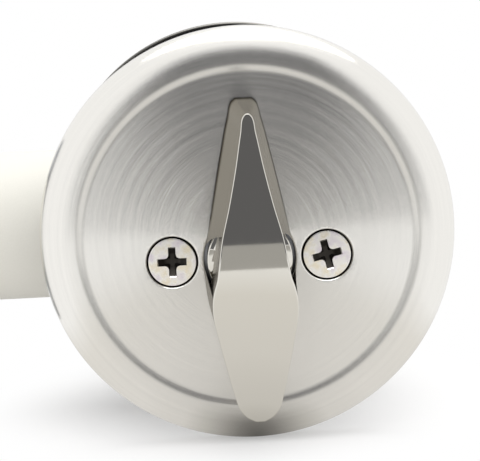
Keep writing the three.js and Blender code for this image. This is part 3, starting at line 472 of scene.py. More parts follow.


# Painted shade: within the disc's middle, all below its face is darkened: the countersinks, the hub's
# hole and the disc's back.
def darken_holes(material):
    tree = material.node_tree
    shader = tree.nodes["Principled BSDF"]
    brushed = shader.inputs["Base Color"].links[0].from_socket
    place = add(tree, "ShaderNodeTexCoord")
    axes = add(tree, "ShaderNodeSeparateXYZ", {0: place.outputs["Object"]})
    flat = add(tree, "ShaderNodeCombineXYZ", {0: axes.outputs["X"], 1: axes.outputs["Z"]})
    radius = add(tree, "ShaderNodeVectorMath", {0: flat.outputs[0]}, operation="LENGTH")
    near = add(tree, "ShaderNodeMapRange", {"Value": radius.outputs["Value"],
                                            "From Min": (SHADOW_REACH_MM + SHADOW_FADE_MM) * MM,
                                            "From Max": SHADOW_REACH_MM * MM})
    sunk = add(tree, "ShaderNodeMapRange", {"Value": axes.outputs["Y"],
                                            "From Min": front(ROSE_DISC_MM - SHADOW_START_MM) * MM,
                                            "From Max": front(ROSE_DISC_MM - SHADOW_FULL_MM) * MM})
    share = add(tree, "ShaderNodeMath", {0: near.outputs["Result"], 1: sunk.outputs["Result"]},
                operation="MULTIPLY")
    tone = add(tree, "ShaderNodeMix", {0: share.outputs[0], 6: brushed, 7: linear(SHADOWED_STEEL)},
               data_type="RGBA")
    tree.links.new(tone.outputs[2], shader.inputs["Base Color"])


def make_rose():
    crest = ROSE_RING_MM + ROSE_FLANK_MM + ROSE_CREST_MM
    lip = ROSE_DISC_MM + ROSE_FLANK_RISE_MM
    back = ROSE_DISC_MM - ROSE_WALL_MM
    rim, rise = ROSE_RADIUS_MM - crest, lip - ROSE_EDGE_MM
    outer = rounded([(0, ROSE_DISC_MM), (ROSE_RING_MM, ROSE_DISC_MM, ROSE_FILLET_MM),
                     (ROSE_RING_MM + ROSE_FLANK_MM, lip, ROSE_FILLET_MM), (crest, lip)])
    outer += quarter((crest, ROSE_EDGE_MM), rim, rise, 1, 0, 28, ROSE_DOME_POWER)[1:]
    outer.append((ROSE_RADIUS_MM, 0))
    inner = [(ROSE_RADIUS_MM - ROSE_WALL_MM, 0)]
    inner += quarter((crest, ROSE_EDGE_MM), rim - ROSE_WALL_MM, rise - ROSE_WALL_MM, 0, 1, 10)
    inner += [(ROSE_RING_MM + ROSE_WALL_MM / 2, back), (0, back)]
    rose = turned("interior_rose_cover", [(r, front(h)) for r, h in outer + inner])
    over, under = ROSE_DISC_MM + 3 * CUT_PAST_MM, back - CUT_PAST_MM
    hub = [(0, over), (HUB_HOLE_MM + CUT_PAST_MM, over), (HUB_HOLE_MM + CUT_PAST_MM, ROSE_DISC_MM),
           (HUB_HOLE_MM, ROSE_DISC_MM, HUB_HOLE_ROUND_MM), (HUB_HOLE_MM, under), (0, under)]
    sink = [(0, over), (SINK_RADIUS_MM + CUT_PAST_MM, over),
            (SINK_RADIUS_MM + CUT_PAST_MM, ROSE_DISC_MM), (SINK_RADIUS_MM, ROSE_DISC_MM, SINK_ROUND_MM),
            (SCREW_HOLE_MM, back + 0.1, 0.1), (SCREW_HOLE_MM, under), (0, under)]
    cutters = [turned("hub_hole", [(r, front(h)) for r, h in rounded(hub)], SPINDLE_MM, steps=128)]
    for x in (-SCREW_X_MM, SCREW_X_MM):
        profile = [(r, front(h)) for r, h in rounded(sink)]
        cutters.append(turned("screw_hole", profile, (x, 0, SPINDLE_Z_MM), steps=96))
    combine(rose, cutters)
    smooth(rose)
    steel = ring_brushed_steel("satin_stainless_steel_ring_brushed", STEEL_COLOUR)
    darken_holes(steel)
    hand_in(rose, steel, "lock", "satin_steel", "interior_rose")


make_rose()


# Thumbturn: a cast lever plated in satin nickel and lightly polished. Its face tapers to a
# flat upper tip and a round lower one, and a round pocket lets the hub show through its foot.
PADDLE_UP_MM = 24.9
PADDLE_DOWN_MM = 23.6
PADDLE_HALF_MM = 7
PADDLE_THINNEST_MM = 0.02
PADDLE_HEIGHT_MM = 14
PADDLE_CLEARANCE_MM = 0.8
PADDLE_TIP_INSET_MM = 1.6
PADDLE_HEEL_INSET_MM = 1.15
PADDLE_CROWN_MM = 0.8
PADDLE_BEVEL_MM = 0.12
PADDLE_ASPECT = 3.4
PADDLE_SAMPLES = 220
PADDLE_ROWS = 24
BEVEL_STEPS = 5
FACE_COLUMNS = (1, 0.97, 0.9, 0.7, 0.4, 0, -0.4, -0.7, -0.9, -0.97, -1)
HUB_RADIUS_MM = 6.6
STEM_RADIUS_MM = 5
STEM_END_MM = 2.6
NICKEL_COLOUR = "E2DFD7"
SIDE_NICKEL_SHADE_COLOUR = "A09D97"
SIDE_TINT_SHADE_COLOUR = "C7C4BE"
FOOT_SHADE_COLOUR = "67645F"
FOOT_SHADE_HEIGHT_MM = 2.8
POLISH_MARK_MM = (0.385, 1.111, 2.381)
POLISH_DEPTH_MM = 0.01
POLISH_CLOUD_MM = 4.545
POLISHED_ROUGHNESS = (0.02, 0.045)
SIDE_DULLNESS = 0.22

# The lever's outline, from its upper tip down: the height, as a share of the reach above or below
# the spindle, then half the width at the foot and on the face, as shares of the widest half.
PADDLE_SHARES = [(1, 0.18, 0.042), (0.985, 0.25, 0.09), (0.88, 0.37, 0.165), (0.66, 0.55, 0.3),
                 (0.43, 0.72, 0.466), (0.2, 0.88, 0.655), (0.04, 0.975, 0.74), (-0.04, 0.995, 0.785),
                 (-0.1, 1, 0.845), (-0.17, 0.995, 0.893), (-0.26, 0.96, 0.898), (-0.45, 0.815, 0.785),
                 (-0.65, 0.657, 0.645), (-0.82, 0.52, 0.515), (-0.91, 0.43, 0.425),
                 (-0.97, 0.28, 0.275), (-1, 0.1, 0.098)]


# A smooth curve through the shares, in even steps along its length.
def eased(shares, samples):
    table = np.array(shares, float)
    steps = np.hypot(np.diff(table[:, 0]) * PADDLE_ASPECT, np.diff(table[:, 1]))
    span = np.concatenate([[0], np.cumsum(steps)])
    slope = np.gradient(table, span, axis=0)
    at = np.linspace(0, span[-1], samples)
    i = np.clip(np.searchsorted(span, at, side="right") - 1, 0, len(span) - 2)
    width = (span[i + 1] - span[i])[:, None]
    t = ((at - span[i]) / (span[i + 1] - span[i]))[:, None]
    return ((2 * t ** 3 - 3 * t ** 2 + 1) * table[i] + (t ** 3 - 2 * t ** 2 + t) * width * slope[i]
            + (3 * t ** 2 - 2 * t ** 3) * table[i + 1] + (t ** 3 - t ** 2) * width * slope[i + 1])


# The face is crowned: highest level with the spindle, and falling towards both tips.
def paddle_face_height(z):
    return ROSE_DISC_MM + PADDLE_HEIGHT_MM - PADDLE_CROWN_MM * (z / PADDLE_UP_MM) ** 2


# Half widths and heights of one outline. It can be drawn in at its tips and inset all round.
def paddle_side(table, column, drawn_in, inset):
    up = PADDLE_UP_MM - drawn_in * PADDLE_TIP_INSET_MM
    down = PADDLE_DOWN_MM - drawn_in * PADDLE_HEEL_INSET_MM
    arm = np.where(table[:, 0] > 0, up, down)
    half = np.maximum(table[:, column] * PADDLE_HALF_MM - inset, PADDLE_THINNEST_MM)
    return half, table[:, 0] * (arm - inset)


def paddle_rings(table):
    underside = ROSE_DISC_MM + PADDLE_CLEARANCE_MM
    foot, face = paddle_side(table, 1, 0, 0), paddle_side(table, 2, 1, 0)
    rings = []
    for blend in np.linspace(0, 1, PADDLE_ROWS):
        half = foot[0] + (face[0] - foot[0]) * blend
        z = foot[1] + (face[1] - foot[1]) * blend
        top = paddle_face_height(z) - PADDLE_BEVEL_MM
        rings.append((half, z, underside + (top - underside) * blend))
    for step in range(1, BEVEL_STEPS + 1):
        angle = math.pi / 2 * step / BEVEL_STEPS
        drawn = PADDLE_BEVEL_MM * (1 - math.cos(angle))
        half, z = paddle_side(table, 2, 1, drawn)
        rings.append((half, z, paddle_face_height(z) - PADDLE_BEVEL_MM * (1 - math.sin(angle))))
    return rings


def paddle_body(table):
    rings = paddle_rings(table)
    work = bmesh.new()
    loops = []
    for half, z, h in rings:
        right = [work.verts.new((x, front(y), w + SPINDLE_Z_MM)) for x, y, w in zip(half, h, z)]
        left = [work.verts.new((-x, front(y), w + SPINDLE_Z_MM)) for x, y, w in zip(half, h, z)]
        loops.append((right, left))
    half, z, h = rings[-1]
    last_r, last_l = loops[-1]
    rows = []
    for i in range(len(half)):
        row = [work.verts.new((half[i] * a, front(h[i]), z[i] + SPINDLE_Z_MM))
               for a in FACE_COLUMNS[1:-1]]
        rows.append([last_r[i], *row, last_l[i]])
    for (low_r, low_l), (high_r, high_l) in zip(loops, loops[1:]):
        for i in range(len(low_r) - 1):
            work.faces.new((low_r[i], low_r[i + 1], high_r[i + 1], high_r[i]))
            work.faces.new((low_l[i + 1], low_l[i], high_l[i], high_l[i + 1]))
        upper, lower = (high_r[0], high_l[0]), (high_r[-1], high_l[-1])
        if high_r is last_r:
            upper, lower = rows[0], rows[-1]
        work.faces.new([low_l[0], low_r[0], *upper])
        work.faces.new([low_r[-1], low_l[-1], *reversed(lower)])
    for above, below in zip(rows, rows[1:]):
        for j in range(len(FACE_COLUMNS) - 1):
            work.faces.new((above[j], above[j + 1], below[j + 1], below[j]))
    work.faces.new(list(loops[0][0]) + list(reversed(loops[0][1])))
    bmesh.ops.remove_doubles(work, verts=work.verts, dist=1e-4)
    return object_from(work, "thumbturn_lever")


def outward(thing):
    work = bmesh.new()
    work.from_mesh(thing.data)
    bmesh.ops.recalc_face_normals(work, faces=work.faces)
    work.to_mesh(thing.data)
    work.free()
    return thing


# A flat piece cut to an outline, with its edges broken by a small bevel.
def plate(name, outline, near, far, axis="Y", edge=0.2):
    lay = {"X": lambda u, v, w: (w, u, v),
           "Y": lambda u, v, w: (u, w, v),
           "Z": lambda u, v, w: (u, v, w)}[axis]
    count = len(outline)
    points = [Vector(lay(u, v, w)) * MM for w in (near, far) for u, v in outline]
    faces = [tuple(range(count)), tuple(range(2 * count - 1, count - 1, -1))]
    faces += [(i, (i + 1) % count, count + (i + 1) % count, count + i) for i in range(count)]
    thing = outward(mesh_object(name, points, faces))
    if edge:
        rounding = thing.modifiers.new("rounded_edges", "BEVEL")
        rounding.width = edge * MM
        rounding.segments = 3
        rounding.angle_limit = math.radians(40)
        settle(thing)
    return thing


# Satin nickel on a cast lever: warm grey, with faint wandering marks that soften what its face
# mirrors. The sides are left as plated, so they are duller than the face; their darker colour and
# tint are painted shade, as is the dark band at their foot.
def hand_polished_nickel():
    material, tree, shader = new_material("satin_nickel_hand_polished")
    place = add(tree, "ShaderNodeTexCoord")
    marks = add(tree, "ShaderNodeMapping", {"Vector": place.outputs["Object"],
                                            "Scale": [scale_for(size) for size in POLISH_MARK_MM]})
    fine = add(tree, "ShaderNodeTexNoise", {"Vector": marks.outputs[0], "Scale": 1.0, "Detail": 4.0})
    cloud = add(tree, "ShaderNodeTexNoise", {"Vector": place.outputs["Object"],
                                             "Scale": scale_for(POLISH_CLOUD_MM), "Detail": 2.0})
    mix = add(tree, "ShaderNodeMath", {0: fine.outputs["Fac"], 1: cloud.outputs["Fac"]},
              operation="ADD")
    rough = add(tree, "ShaderNodeMapRange", {"Value": mix.outputs[0], "From Min": NOISE_SUM_LOW,
                                             "From Max": NOISE_SUM_HIGH,
                                             "To Min": POLISHED_ROUGHNESS[0],
                                             "To Max": POLISHED_ROUGHNESS[1]})
    relief = add(tree, "ShaderNodeBump", {"Height": fine.outputs["Fac"], "Strength": 0.05,
                                          "Distance": POLISH_DEPTH_MM * MM})
    # Painted shade: surfaces turned away from the front get a darker colour and specular tint.
    facing = add(tree, "ShaderNodeNewGeometry")
    normal = add(tree, "ShaderNodeSeparateXYZ", {0: facing.outputs["Normal"]})
    forward = add(tree, "ShaderNodeMath", {0: normal.outputs["Y"], 1: -1.0}, operation="MULTIPLY")
    on_face = add(tree, "ShaderNodeMapRange", {"Value": forward.outputs[0], "From Min": 0.3,
                                               "From Max": 0.75})
    tone = add(tree, "ShaderNodeMix", {0: on_face.outputs["Result"], 6: linear(SIDE_NICKEL_SHADE_COLOUR),
                                       7: linear(NICKEL_COLOUR)}, data_type="RGBA")
    duller = add(tree, "ShaderNodeMapRange", {"Value": on_face.outputs["Result"],
                                              "To Min": SIDE_DULLNESS, "To Max": 0.0})
    edge_tint = add(tree, "ShaderNodeMix", {0: on_face.outputs["Result"], 6: linear(SIDE_TINT_SHADE_COLOUR),
                                            7: (1, 1, 1, 1)}, data_type="RGBA")
    dull = add(tree, "ShaderNodeMath", {0: rough.outputs["Result"], 1: duller.outputs["Result"]},
               operation="ADD")
    spindle = add(tree, "ShaderNodeMapping", {"Vector": place.outputs["Object"],
                                              "Location": (0, 0, -SPINDLE_Z_MM * MM),
                                              "Scale": (1, 0, 1)})
    reach = add(tree, "ShaderNodeVectorMath", {0: spindle.outputs[0]}, operation="LENGTH")
    clear_of_hub = add(tree, "ShaderNodeMapRange", {"Value": reach.outputs["Value"],
                                                    "From Min": (HUB_HOLE_MM + 0.5) * MM,
                                                    "From Max": (HUB_HOLE_MM + 2) * MM})
    # Painted shade: the walls darken towards their foot by the rose, outside the hub's pocket.
    axes = add(tree, "ShaderNodeSeparateXYZ", {0: place.outputs["Object"]})
    low = add(tree, "ShaderNodeMapRange", {"Value": axes.outputs["Y"],
                                           "From Min": front(ROSE_DISC_MM + FOOT_SHADE_HEIGHT_MM) * MM,
                                           "From Max": front(ROSE_DISC_MM + PADDLE_CLEARANCE_MM) * MM})
    foot = add(tree, "ShaderNodeMath", {0: low.outputs["Result"], 1: clear_of_hub.outputs["Result"]},
               operation="MULTIPLY")
    colour = add(tree, "ShaderNodeMix", {0: foot.outputs[0], 6: tone.outputs[2],
                                         7: linear(FOOT_SHADE_COLOUR)}, data_type="RGBA")
    tint = add(tree, "ShaderNodeMix", {0: foot.outputs[0], 6: edge_tint.outputs[2],
                                       7: linear(FOOT_SHADE_COLOUR)}, data_type="RGBA")
    tree.links.new(colour.outputs[2], shader.inputs["Base Color"])
    tree.links.new(tint.outputs[2], shader.inputs["Specular Tint"])
    tree.links.new(dull.outputs[0], shader.inputs["Roughness"])
    tree.links.new(relief.outputs[0], shader.inputs["Normal"])
    shader.inputs["Metallic"].default_value = 1
    return material


def make_thumbturn():
    table = eased(PADDLE_SHARES, PADDLE_SAMPLES)
    lever = paddle_body(table)
    underside = ROSE_DISC_MM + PADDLE_CLEARANCE_MM
    half, z = paddle_side(table, 2, 1, 0)
    outline = [(x, w + SPINDLE_Z_MM) for x, w in zip(half, z)]
    outline += [(-x, w) for x, w in reversed(outline)]
    neck = plate("neck", outline, front(underside + PADDLE_HEIGHT_MM + 6), front(0), edge=0)
    low, high = front(underside - 0.5), front(underside + PADDLE_HEIGHT_MM + 3)
    pocket = turned("pocket", [(0, low), (HUB_HOLE_MM, low), (HUB_HOLE_MM, high), (0, high)],
                    SPINDLE_MM, steps=160)
    combine(pocket, [neck])
    combine(lever, [pocket])
    shoulder, top = ROSE_DISC_MM - ROSE_WALL_MM, underside + 0.1
    hub = rounded([(0, top), (HUB_RADIUS_MM, top, 0.2), (HUB_RADIUS_MM, shoulder, 0.1),
                   (STEM_RADIUS_MM, shoulder), (STEM_RADIUS_MM, -STEM_END_MM, 0.3), (0, -STEM_END_MM)])
    stem = turned("hub", [(r, front(h)) for r, h in hub], SPINDLE_MM, steps=128)
    combine(lever, [stem], "UNION")
    smooth(lever, 28)
    hand_in(lever, hand_polished_nickel(), "turning_set", "satin_steel", "thumbturn")


make_thumbturn()


# Mounting screws: machine screws with flat heads and cross recesses, bright nickel plated,
# which draw the rose and the key side together through the door.
SCREW_HEAD_MM = 3.7
SCREW_HEAD_DEPTH_MM = 1.5
SCREW_LAND_MM = 0.15
SCREW_SINK_MM = 0.15
SCREW_NECK_MM = 2
SCREW_SHANK_MM = 2
SCREW_POINT_MM = 1
SCREW_END_Y_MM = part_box("mounting_screw_left")[1][1] / MM
CROSS_LENGTH_MM = 4.7
CROSS_WIDTH_MM = 1.15
CROSS_DEPTH_MM = 1.2
CROSS_ROOT_SHARE = 0.35
RIGHT_CROSS_TURN = math.radians(12)
THREAD_PITCH_MM = 0.8
THREAD_DEPTH_MM = 0.25
THREAD_LENGTH_MM = 26
THREAD_SETBACK_MM = 1.2
PLATE_COLOUR = "FBF8F2"
FILM_STRAW = "F4EBD6"
FILM_PINK = "F1E9EE"
FILM_CLOUD_MM = 1.923
PIT_MM = 0.238
PIT_DEPTH_MM = 0.01
PLATE_ROUGHNESS = (0.1, 0.24)
RECESS_SHADE_COLOUR = "45423E"
RECESS_DULLNESS = 0.35
RECESS_START_MM = 0.06
RECESS_FULL_MM = 0.2


# Bright nickel plate on a stamped head: mirror smooth but for fine pits, with a thin film that
# tints it straw and pink in places. In the recess it is dull, and darkened with painted shade.
def bright_nickel_plate(face_h):
    material, tree, shader = new_material("bright_nickel_plated_steel")
    place = add(tree, "ShaderNodeTexCoord")
    cloud = add(tree, "ShaderNodeTexNoise", {"Vector": place.outputs["Object"],
                                             "Scale": scale_for(FILM_CLOUD_MM), "Detail": 3.0})
    film = add(tree, "ShaderNodeValToRGB", {"Fac": cloud.outputs["Fac"]})
    ramp = film.color_ramp
    ramp.elements[0].position = 0.34
    ramp.elements[0].color = linear(FILM_STRAW)
    ramp.elements[1].position = 0.66
    ramp.elements[1].color = linear(FILM_PINK)
    ramp.elements.new(0.5).color = linear(PLATE_COLOUR)
    pits = add(tree, "ShaderNodeTexNoise", {"Vector": place.outputs["Object"],
                                            "Scale": scale_for(PIT_MM), "Detail": 2.0})
    relief = add(tree, "ShaderNodeBump", {"Height": pits.outputs["Fac"], "Strength": 0.08,
                                          "Distance": PIT_DEPTH_MM * MM})
    rough = add(tree, "ShaderNodeMapRange", {"Value": cloud.outputs["Fac"],
                                             "To Min": PLATE_ROUGHNESS[0],
                                             "To Max": PLATE_ROUGHNESS[1]})
    # Painted shade: the colour darkens from just below the head's face down to its base, so in the
    # recess.
    axes = add(tree, "ShaderNodeSeparateXYZ", {0: place.outputs["Object"]})
    depth = add(tree, "ShaderNodeMapRange", {"Value": axes.outputs["Y"],
                                             "From Min": front(face_h - RECESS_START_MM) * MM,
                                             "From Max": front(face_h - RECESS_FULL_MM) * MM})
    base_h = face_h - SCREW_HEAD_DEPTH_MM
    above = add(tree, "ShaderNodeMapRange", {"Value": axes.outputs["Y"],
                                             "From Min": front(base_h) * MM,
                                             "From Max": front(base_h - RECESS_FULL_MM) * MM,
                                             "To Min": 1.0, "To Max": 0.0})
    sunk = add(tree, "ShaderNodeMath", {0: depth.outputs["Result"], 1: above.outputs["Result"]},
               operation="MULTIPLY")
    tone = add(tree, "ShaderNodeMix", {0: sunk.outputs[0], 6: film.outputs["Color"],
                                       7: linear(RECESS_SHADE_COLOUR)}, data_type="RGBA")
    dull = add(tree, "ShaderNodeMapRange", {"Value": sunk.outputs[0], "To Min": 0.0,
                                            "To Max": RECESS_DULLNESS})
    spread = add(tree, "ShaderNodeMath", {0: rough.outputs["Result"], 1: dull.outputs["Result"]},
                 operation="ADD")
    tree.links.new(tone.outputs[2], shader.inputs["Base Color"])
    tree.links.new(relief.outputs[0], shader.inputs["Normal"])
    tree.links.new(spread.outputs[0], shader.inputs["Roughness"])
    shader.inputs["Metallic"].default_value = 1
    return material


# The recess is cut by a shape that narrows from above the head to the recess's floor. Each row
# has its height over the head's face, the reach of the cross's arms and half their width.
def cross_recess(x, top_h, turn):
    long, wide, depth = CROSS_LENGTH_MM / 2, CROSS_WIDTH_MM / 2, CROSS_DEPTH_MM
    rows = [(0.6, long * 1.04, wide * 1.06), (0, long, wide), (-depth * 0.75, long * 0.6, wide * 0.8),
            (-depth, long * 0.35, wide * 0.6)]
    cosine, sine = math.cos(turn), math.sin(turn)
    work = bmesh.new()
    rings = []
    for rise, reach, half in rows:
        quadrant = [(reach, -half, 0.1), (reach, half, 0.1),
                    (half, half, (reach - half) * CROSS_ROOT_SHARE)]
        corners = [(u * c - v * d, u * d + v * c, r) for c, d in ((1, 0), (0, 1), (-1, 0), (0, -1))
                   for u, v, r in quadrant]
        rings.append([work.verts.new((x + u * cosine - v * sine, front(top_h + rise),
                                      SPINDLE_Z_MM + u * sine + v * cosine))
                      for u, v in rounded(corners, 4)])
    for low, high in zip(rings, rings[1:]):
        for i in range(len(low)):
            j = (i + 1) % len(low)
            work.faces.new((low[i], low[j], high[j], high[i]))
    work.faces.new(rings[0])
    work.faces.new(rings[-1])
    return object_from(work, "cross_recess")


# A tree of geometry nodes with a named input for each size.
def nodes_tree(name, sizes):
    tree = bpy.data.node_groups.new(name, "GeometryNodeTree")
    tree.interface.new_socket("Geometry", in_out="INPUT", socket_type="NodeSocketGeometry")
    tree.interface.new_socket("Geometry", in_out="OUTPUT", socket_type="NodeSocketGeometry")
    for size in sizes:
        tree.interface.new_socket(size, in_out="INPUT", socket_type="NodeSocketFloat")
    return tree, add(tree, "NodeGroupInput"), add(tree, "NodeGroupOutput")


# A tree's inputs are set by their identifiers before it is first worked out.
def grow(thing, tree, sizes):
    grower = thing.modifiers.new(tree.name, "NODES")
    grower.node_group = tree
    for socket in tree.interface.items_tree:
        if socket.in_out == "INPUT" and socket.name in sizes:
            grower[socket.identifier] = sizes[socket.name]
    return settle(thing)


# Thread: a ridge wound round the shank at an even pitch, joined to the screw it is cut on.
def thread_tree(material):
    tree, given, made = nodes_tree("rolled_thread", ["Radius", "Pitch", "Length", "Start", "Side",
                                                     "Height", "Ridge"])
    rotations = add(tree, "ShaderNodeMath", {0: given.outputs["Length"], 1: given.outputs["Pitch"]},
                    operation="DIVIDE")
    spiral = add(tree, "GeometryNodeCurveSpiral", {"Resolution": 28, "Rotations": rotations.outputs[0],
                                                   "Start Radius": given.outputs["Radius"],
                                                   "End Radius": given.outputs["Radius"],
                                                   "Height": given.outputs["Length"]})
    section = add(tree, "GeometryNodeCurvePrimitiveCircle", {"Resolution": 3,
                                                             "Radius": given.outputs["Ridge"]})
    ridge = add(tree, "GeometryNodeCurveToMesh", {"Curve": spiral.outputs[0],
                                                  "Profile Curve": section.outputs[0],
                                                  "Fill Caps": True})
    spot = add(tree, "ShaderNodeCombineXYZ", {0: given.outputs["Side"], 1: given.outputs["Start"],
                                              2: given.outputs["Height"]})
    laid = add(tree, "GeometryNodeTransform", {"Geometry": ridge.outputs[0],
                                               "Translation": spot.outputs[0],
                                               "Rotation": (-math.pi / 2, 0, 0)})
    joined = add(tree, "GeometryNodeJoinGeometry", {0: laid.outputs[0]})
    tree.links.new(given.outputs["Geometry"], joined.inputs[0])
    real = add(tree, "GeometryNodeRealizeInstances", {0: joined.outputs[0]})
    finish = add(tree, "GeometryNodeSetMaterial", {"Geometry": real.outputs[0], "Material": material})
    tree.links.new(finish.outputs[0], made.inputs[0])
    return tree


def make_mounting_screws():
    top = ROSE_DISC_MM - SCREW_SINK_MM
    low, land = top - SCREW_HEAD_DEPTH_MM, SCREW_LAND_MM
    core = SCREW_SHANK_MM - THREAD_DEPTH_MM / 2
    head = rounded([(0, top), (SCREW_HEAD_MM - land, top), (SCREW_HEAD_MM, top, 0.06),
                    (SCREW_HEAD_MM, top - land, 0.05), (SCREW_SHANK_MM, low, 0.2)])
    profile = [(r, front(h)) for r, h in head]
    profile += [(core, front(low - SCREW_NECK_MM)), (core, SCREW_END_Y_MM - SCREW_POINT_MM),
                (SCREW_SHANK_MM / 2, SCREW_END_Y_MM), (0, SCREW_END_Y_MM)]
    finish = bright_nickel_plate(top)
    tree = thread_tree(finish)
    thread_start = SCREW_END_Y_MM - THREAD_SETBACK_MM - THREAD_LENGTH_MM
    for side, x, turn in (("left", -SCREW_X_MM, 0.0), ("right", SCREW_X_MM, RIGHT_CROSS_TURN)):
        screw = turned(f"mounting_screw_{side}_finished", profile, (x, 0, SPINDLE_Z_MM), steps=96)
        combine(screw, [cross_recess(x, top, turn)])
        smooth(screw)
        screw.data.materials.append(finish)
        grow(screw, tree, {
            "Radius": (SCREW_SHANK_MM - THREAD_DEPTH_MM * 0.75) * MM, "Pitch": THREAD_PITCH_MM * MM,
            "Length": THREAD_LENGTH_MM * MM, "Start": thread_start * MM, "Side": x * MM,
            "Height": SPINDLE_Z_MM * MM, "Ridge": THREAD_DEPTH_MM * MM})
        hand_in(screw, finish, "lock", "bright_nickel", f"mounting_screw_{side}")


make_mounting_screws()


# Backing plate: a stamped steel disc behind the rose. Its rolled lip sits in the cross bore and
# centres the rose, and the thumbturn's stem turns in its middle hole.
BACKING_THICKNESS_MM = 1.5
BACKING_LIP_MM = 1.2
BACKING_BEAD_MM = 20.5
BEAD_HALF_WIDTH_MM = 1.1
BEAD_DEPTH_MM = 0.35
RUNNING_GAP_MM = 0.3
ZINC_COLOUR = "B7BABE"
ZINC_CLOUD_COLOUR = "A3A6AB"
ZINC_GRAIN_MM = (2.5, 0.111, 0.111)
GRAIN_DEPTH_MM = 0.01
GRAIN_ROUGHNESS = (-0.06, 0.08)
CLOUD_MM = 5.263


# A CAD node's box in millimetres.
def span(node):
    return [[c / MM for c in corner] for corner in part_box(node)]


# A drill that breaks the edges of its hole at both ends.
def drill(radius, near, far, centre_mm=(0, 0, 0), axis="Y", flare=0.2, steps=64):
    wide, past = radius + flare + CUT_PAST_MM, CUT_PAST_MM
    profile = [(0, near - past), (wide, near - past), (radius, near + flare), (radius, far - flare),
               (wide, far + past), (0, far + past)]
    return turned("drill", profile, centre_mm, axis, steps)


# Zinc plate on rolled steel, and other metals with a drawn grain: fine lines along one way
# break up the shine, and soft clouds shift its tone as plating and handling leave it.
def grained_metal(name, colour, cloud_colour, grain_mm, roughness=0.34, relief=0.12):
    material, tree, shader = new_material(name)
    place = add(tree, "ShaderNodeTexCoord")
    lay = add(tree, "ShaderNodeMapping", {"Vector": place.outputs["Object"],
                                          "Scale": [scale_for(size) for size in grain_mm]})
    lines = add(tree, "ShaderNodeTexNoise", {"Vector": lay.outputs[0], "Scale": 1.0, "Detail": 3.0})
    cloud = add(tree, "ShaderNodeTexNoise", {"Vector": place.outputs["Object"],
                                             "Scale": scale_for(CLOUD_MM), "Detail": 4.0})
    share = add(tree, "ShaderNodeMapRange", {"Value": cloud.outputs["Fac"], "From Min": 0.35,
                                             "From Max": 0.65})
    tone = add(tree, "ShaderNodeMix", {0: share.outputs["Result"], 6: linear(colour),
                                       7: linear(cloud_colour)}, data_type="RGBA")
    both = add(tree, "ShaderNodeMath", {0: lines.outputs["Fac"], 1: cloud.outputs["Fac"]},
               operation="ADD")
    rough = add(tree, "ShaderNodeMapRange", {"Value": both.outputs[0], "From Min": NOISE_SUM_LOW,
                                             "From Max": NOISE_SUM_HIGH,
                                             "To Min": roughness + GRAIN_ROUGHNESS[0],
                                             "To Max": roughness + GRAIN_ROUGHNESS[1]})
    bump = add(tree, "ShaderNodeBump", {"Height": lines.outputs["Fac"], "Strength": relief,
                                        "Distance": GRAIN_DEPTH_MM * MM})
    tree.links.new(tone.outputs[2], shader.inputs["Base Color"])
    tree.links.new(rough.outputs["Result"], shader.inputs["Roughness"])
    tree.links.new(bump.outputs[0], shader.inputs["Normal"])
    shader.inputs["Metallic"].default_value = 1
    return material


ZINC_PLATE = grained_metal("zinc_plated_rolled_steel", ZINC_COLOUR, ZINC_CLOUD_COLOUR, ZINC_GRAIN_MM)


def make_backing_plate():
    low, high = span("interior_backing_plate")
    radius, front_y, lip_y = high[0], low[1], high[1]
    back_y, inner = front_y + BACKING_THICKNESS_MM, radius - BACKING_LIP_MM
    bead, half, sunk = BACKING_BEAD_MM, BEAD_HALF_WIDTH_MM, BEAD_DEPTH_MM
    section = rounded([(0, front_y), (bead - half, front_y, 0.6), (bead, front_y + sunk, 0.6),
                       (bead + half, front_y, 0.6), (radius, front_y, 1.1), (radius, lip_y, 0.25),
                       (inner, lip_y, 0.25), (inner, back_y, 0.5), (bead + half, back_y, 0.6),
                       (bead, back_y + sunk, 0.6), (bead - half, back_y, 0.6), (0, back_y)])
    plate_disc = turned("interior_backing_plate_pressed", section)
    holes = [drill(STEM_RADIUS_MM + RUNNING_GAP_MM, front_y, back_y, SPINDLE_MM, steps=96)]
    holes += [drill(SCREW_HOLE_MM, front_y, back_y, (x, 0, SPINDLE_Z_MM))
              for x in (-SCREW_X_MM, SCREW_X_MM)]
    combine(plate_disc, holes)
    smooth(plate_disc)
    hand_in(plate_disc, ZINC_PLATE, "lock", "plain_steel", "interior_backing_plate")


make_backing_plate()


# Wave washer: a thin ring of spring steel bent into three waves, which keeps the thumbturn from
# rattling between the backing plate and its retaining ring.
WASHER_THICKNESS_MM = 0.4
WASHER_WAVE_MM = 0.25
WASHER_WAVES = 3

# Blued spring steel: darker than the plated steel and even, with no grain along any way.
SPRING_STEEL = grained_metal("blued_spring_steel", "6E7178", "5D5F66", (0.2, 0.2, 0.2), 0.3)


def make_wave_washer():
    low, high = span("thumbturn_wave_washer")
    inner, outer, half = STEM_RADIUS_MM + RUNNING_GAP_MM, high[0], WASHER_THICKNESS_MM / 2
    section = rounded([(inner, -half, 0.12), (outer, -half, 0.12), (outer, half, 0.12),
                       (inner, half, 0.12)], 3)
    washer = turned("thumbturn_wave_washer_sprung", section, steps=144, closed=True)
    middle = Vector((0, (low[1] + high[1]) / 2, SPINDLE_Z_MM)) * MM
    for corner in washer.data.vertices:
        angle = math.atan2(corner.co.z, corner.co.x)
        corner.co.y += WASHER_WAVE_MM * MM * math.cos(WASHER_WAVES * angle)
        corner.co += middle
    smooth(washer)
    hand_in(washer, SPRING_STEEL, "lock", "spring_steel", "thumbturn_wave_washer")


make_wave_washer()


# Retaining ring: an open ring stamped from spring steel and snapped into the groove of the
# thumbturn's stem. Three prongs grip the groove, with room to flex between them.
RING_INNER_MM = 4.25
RING_MOUTH = math.pi / 5
RING_RELIEF_MM = 1.1


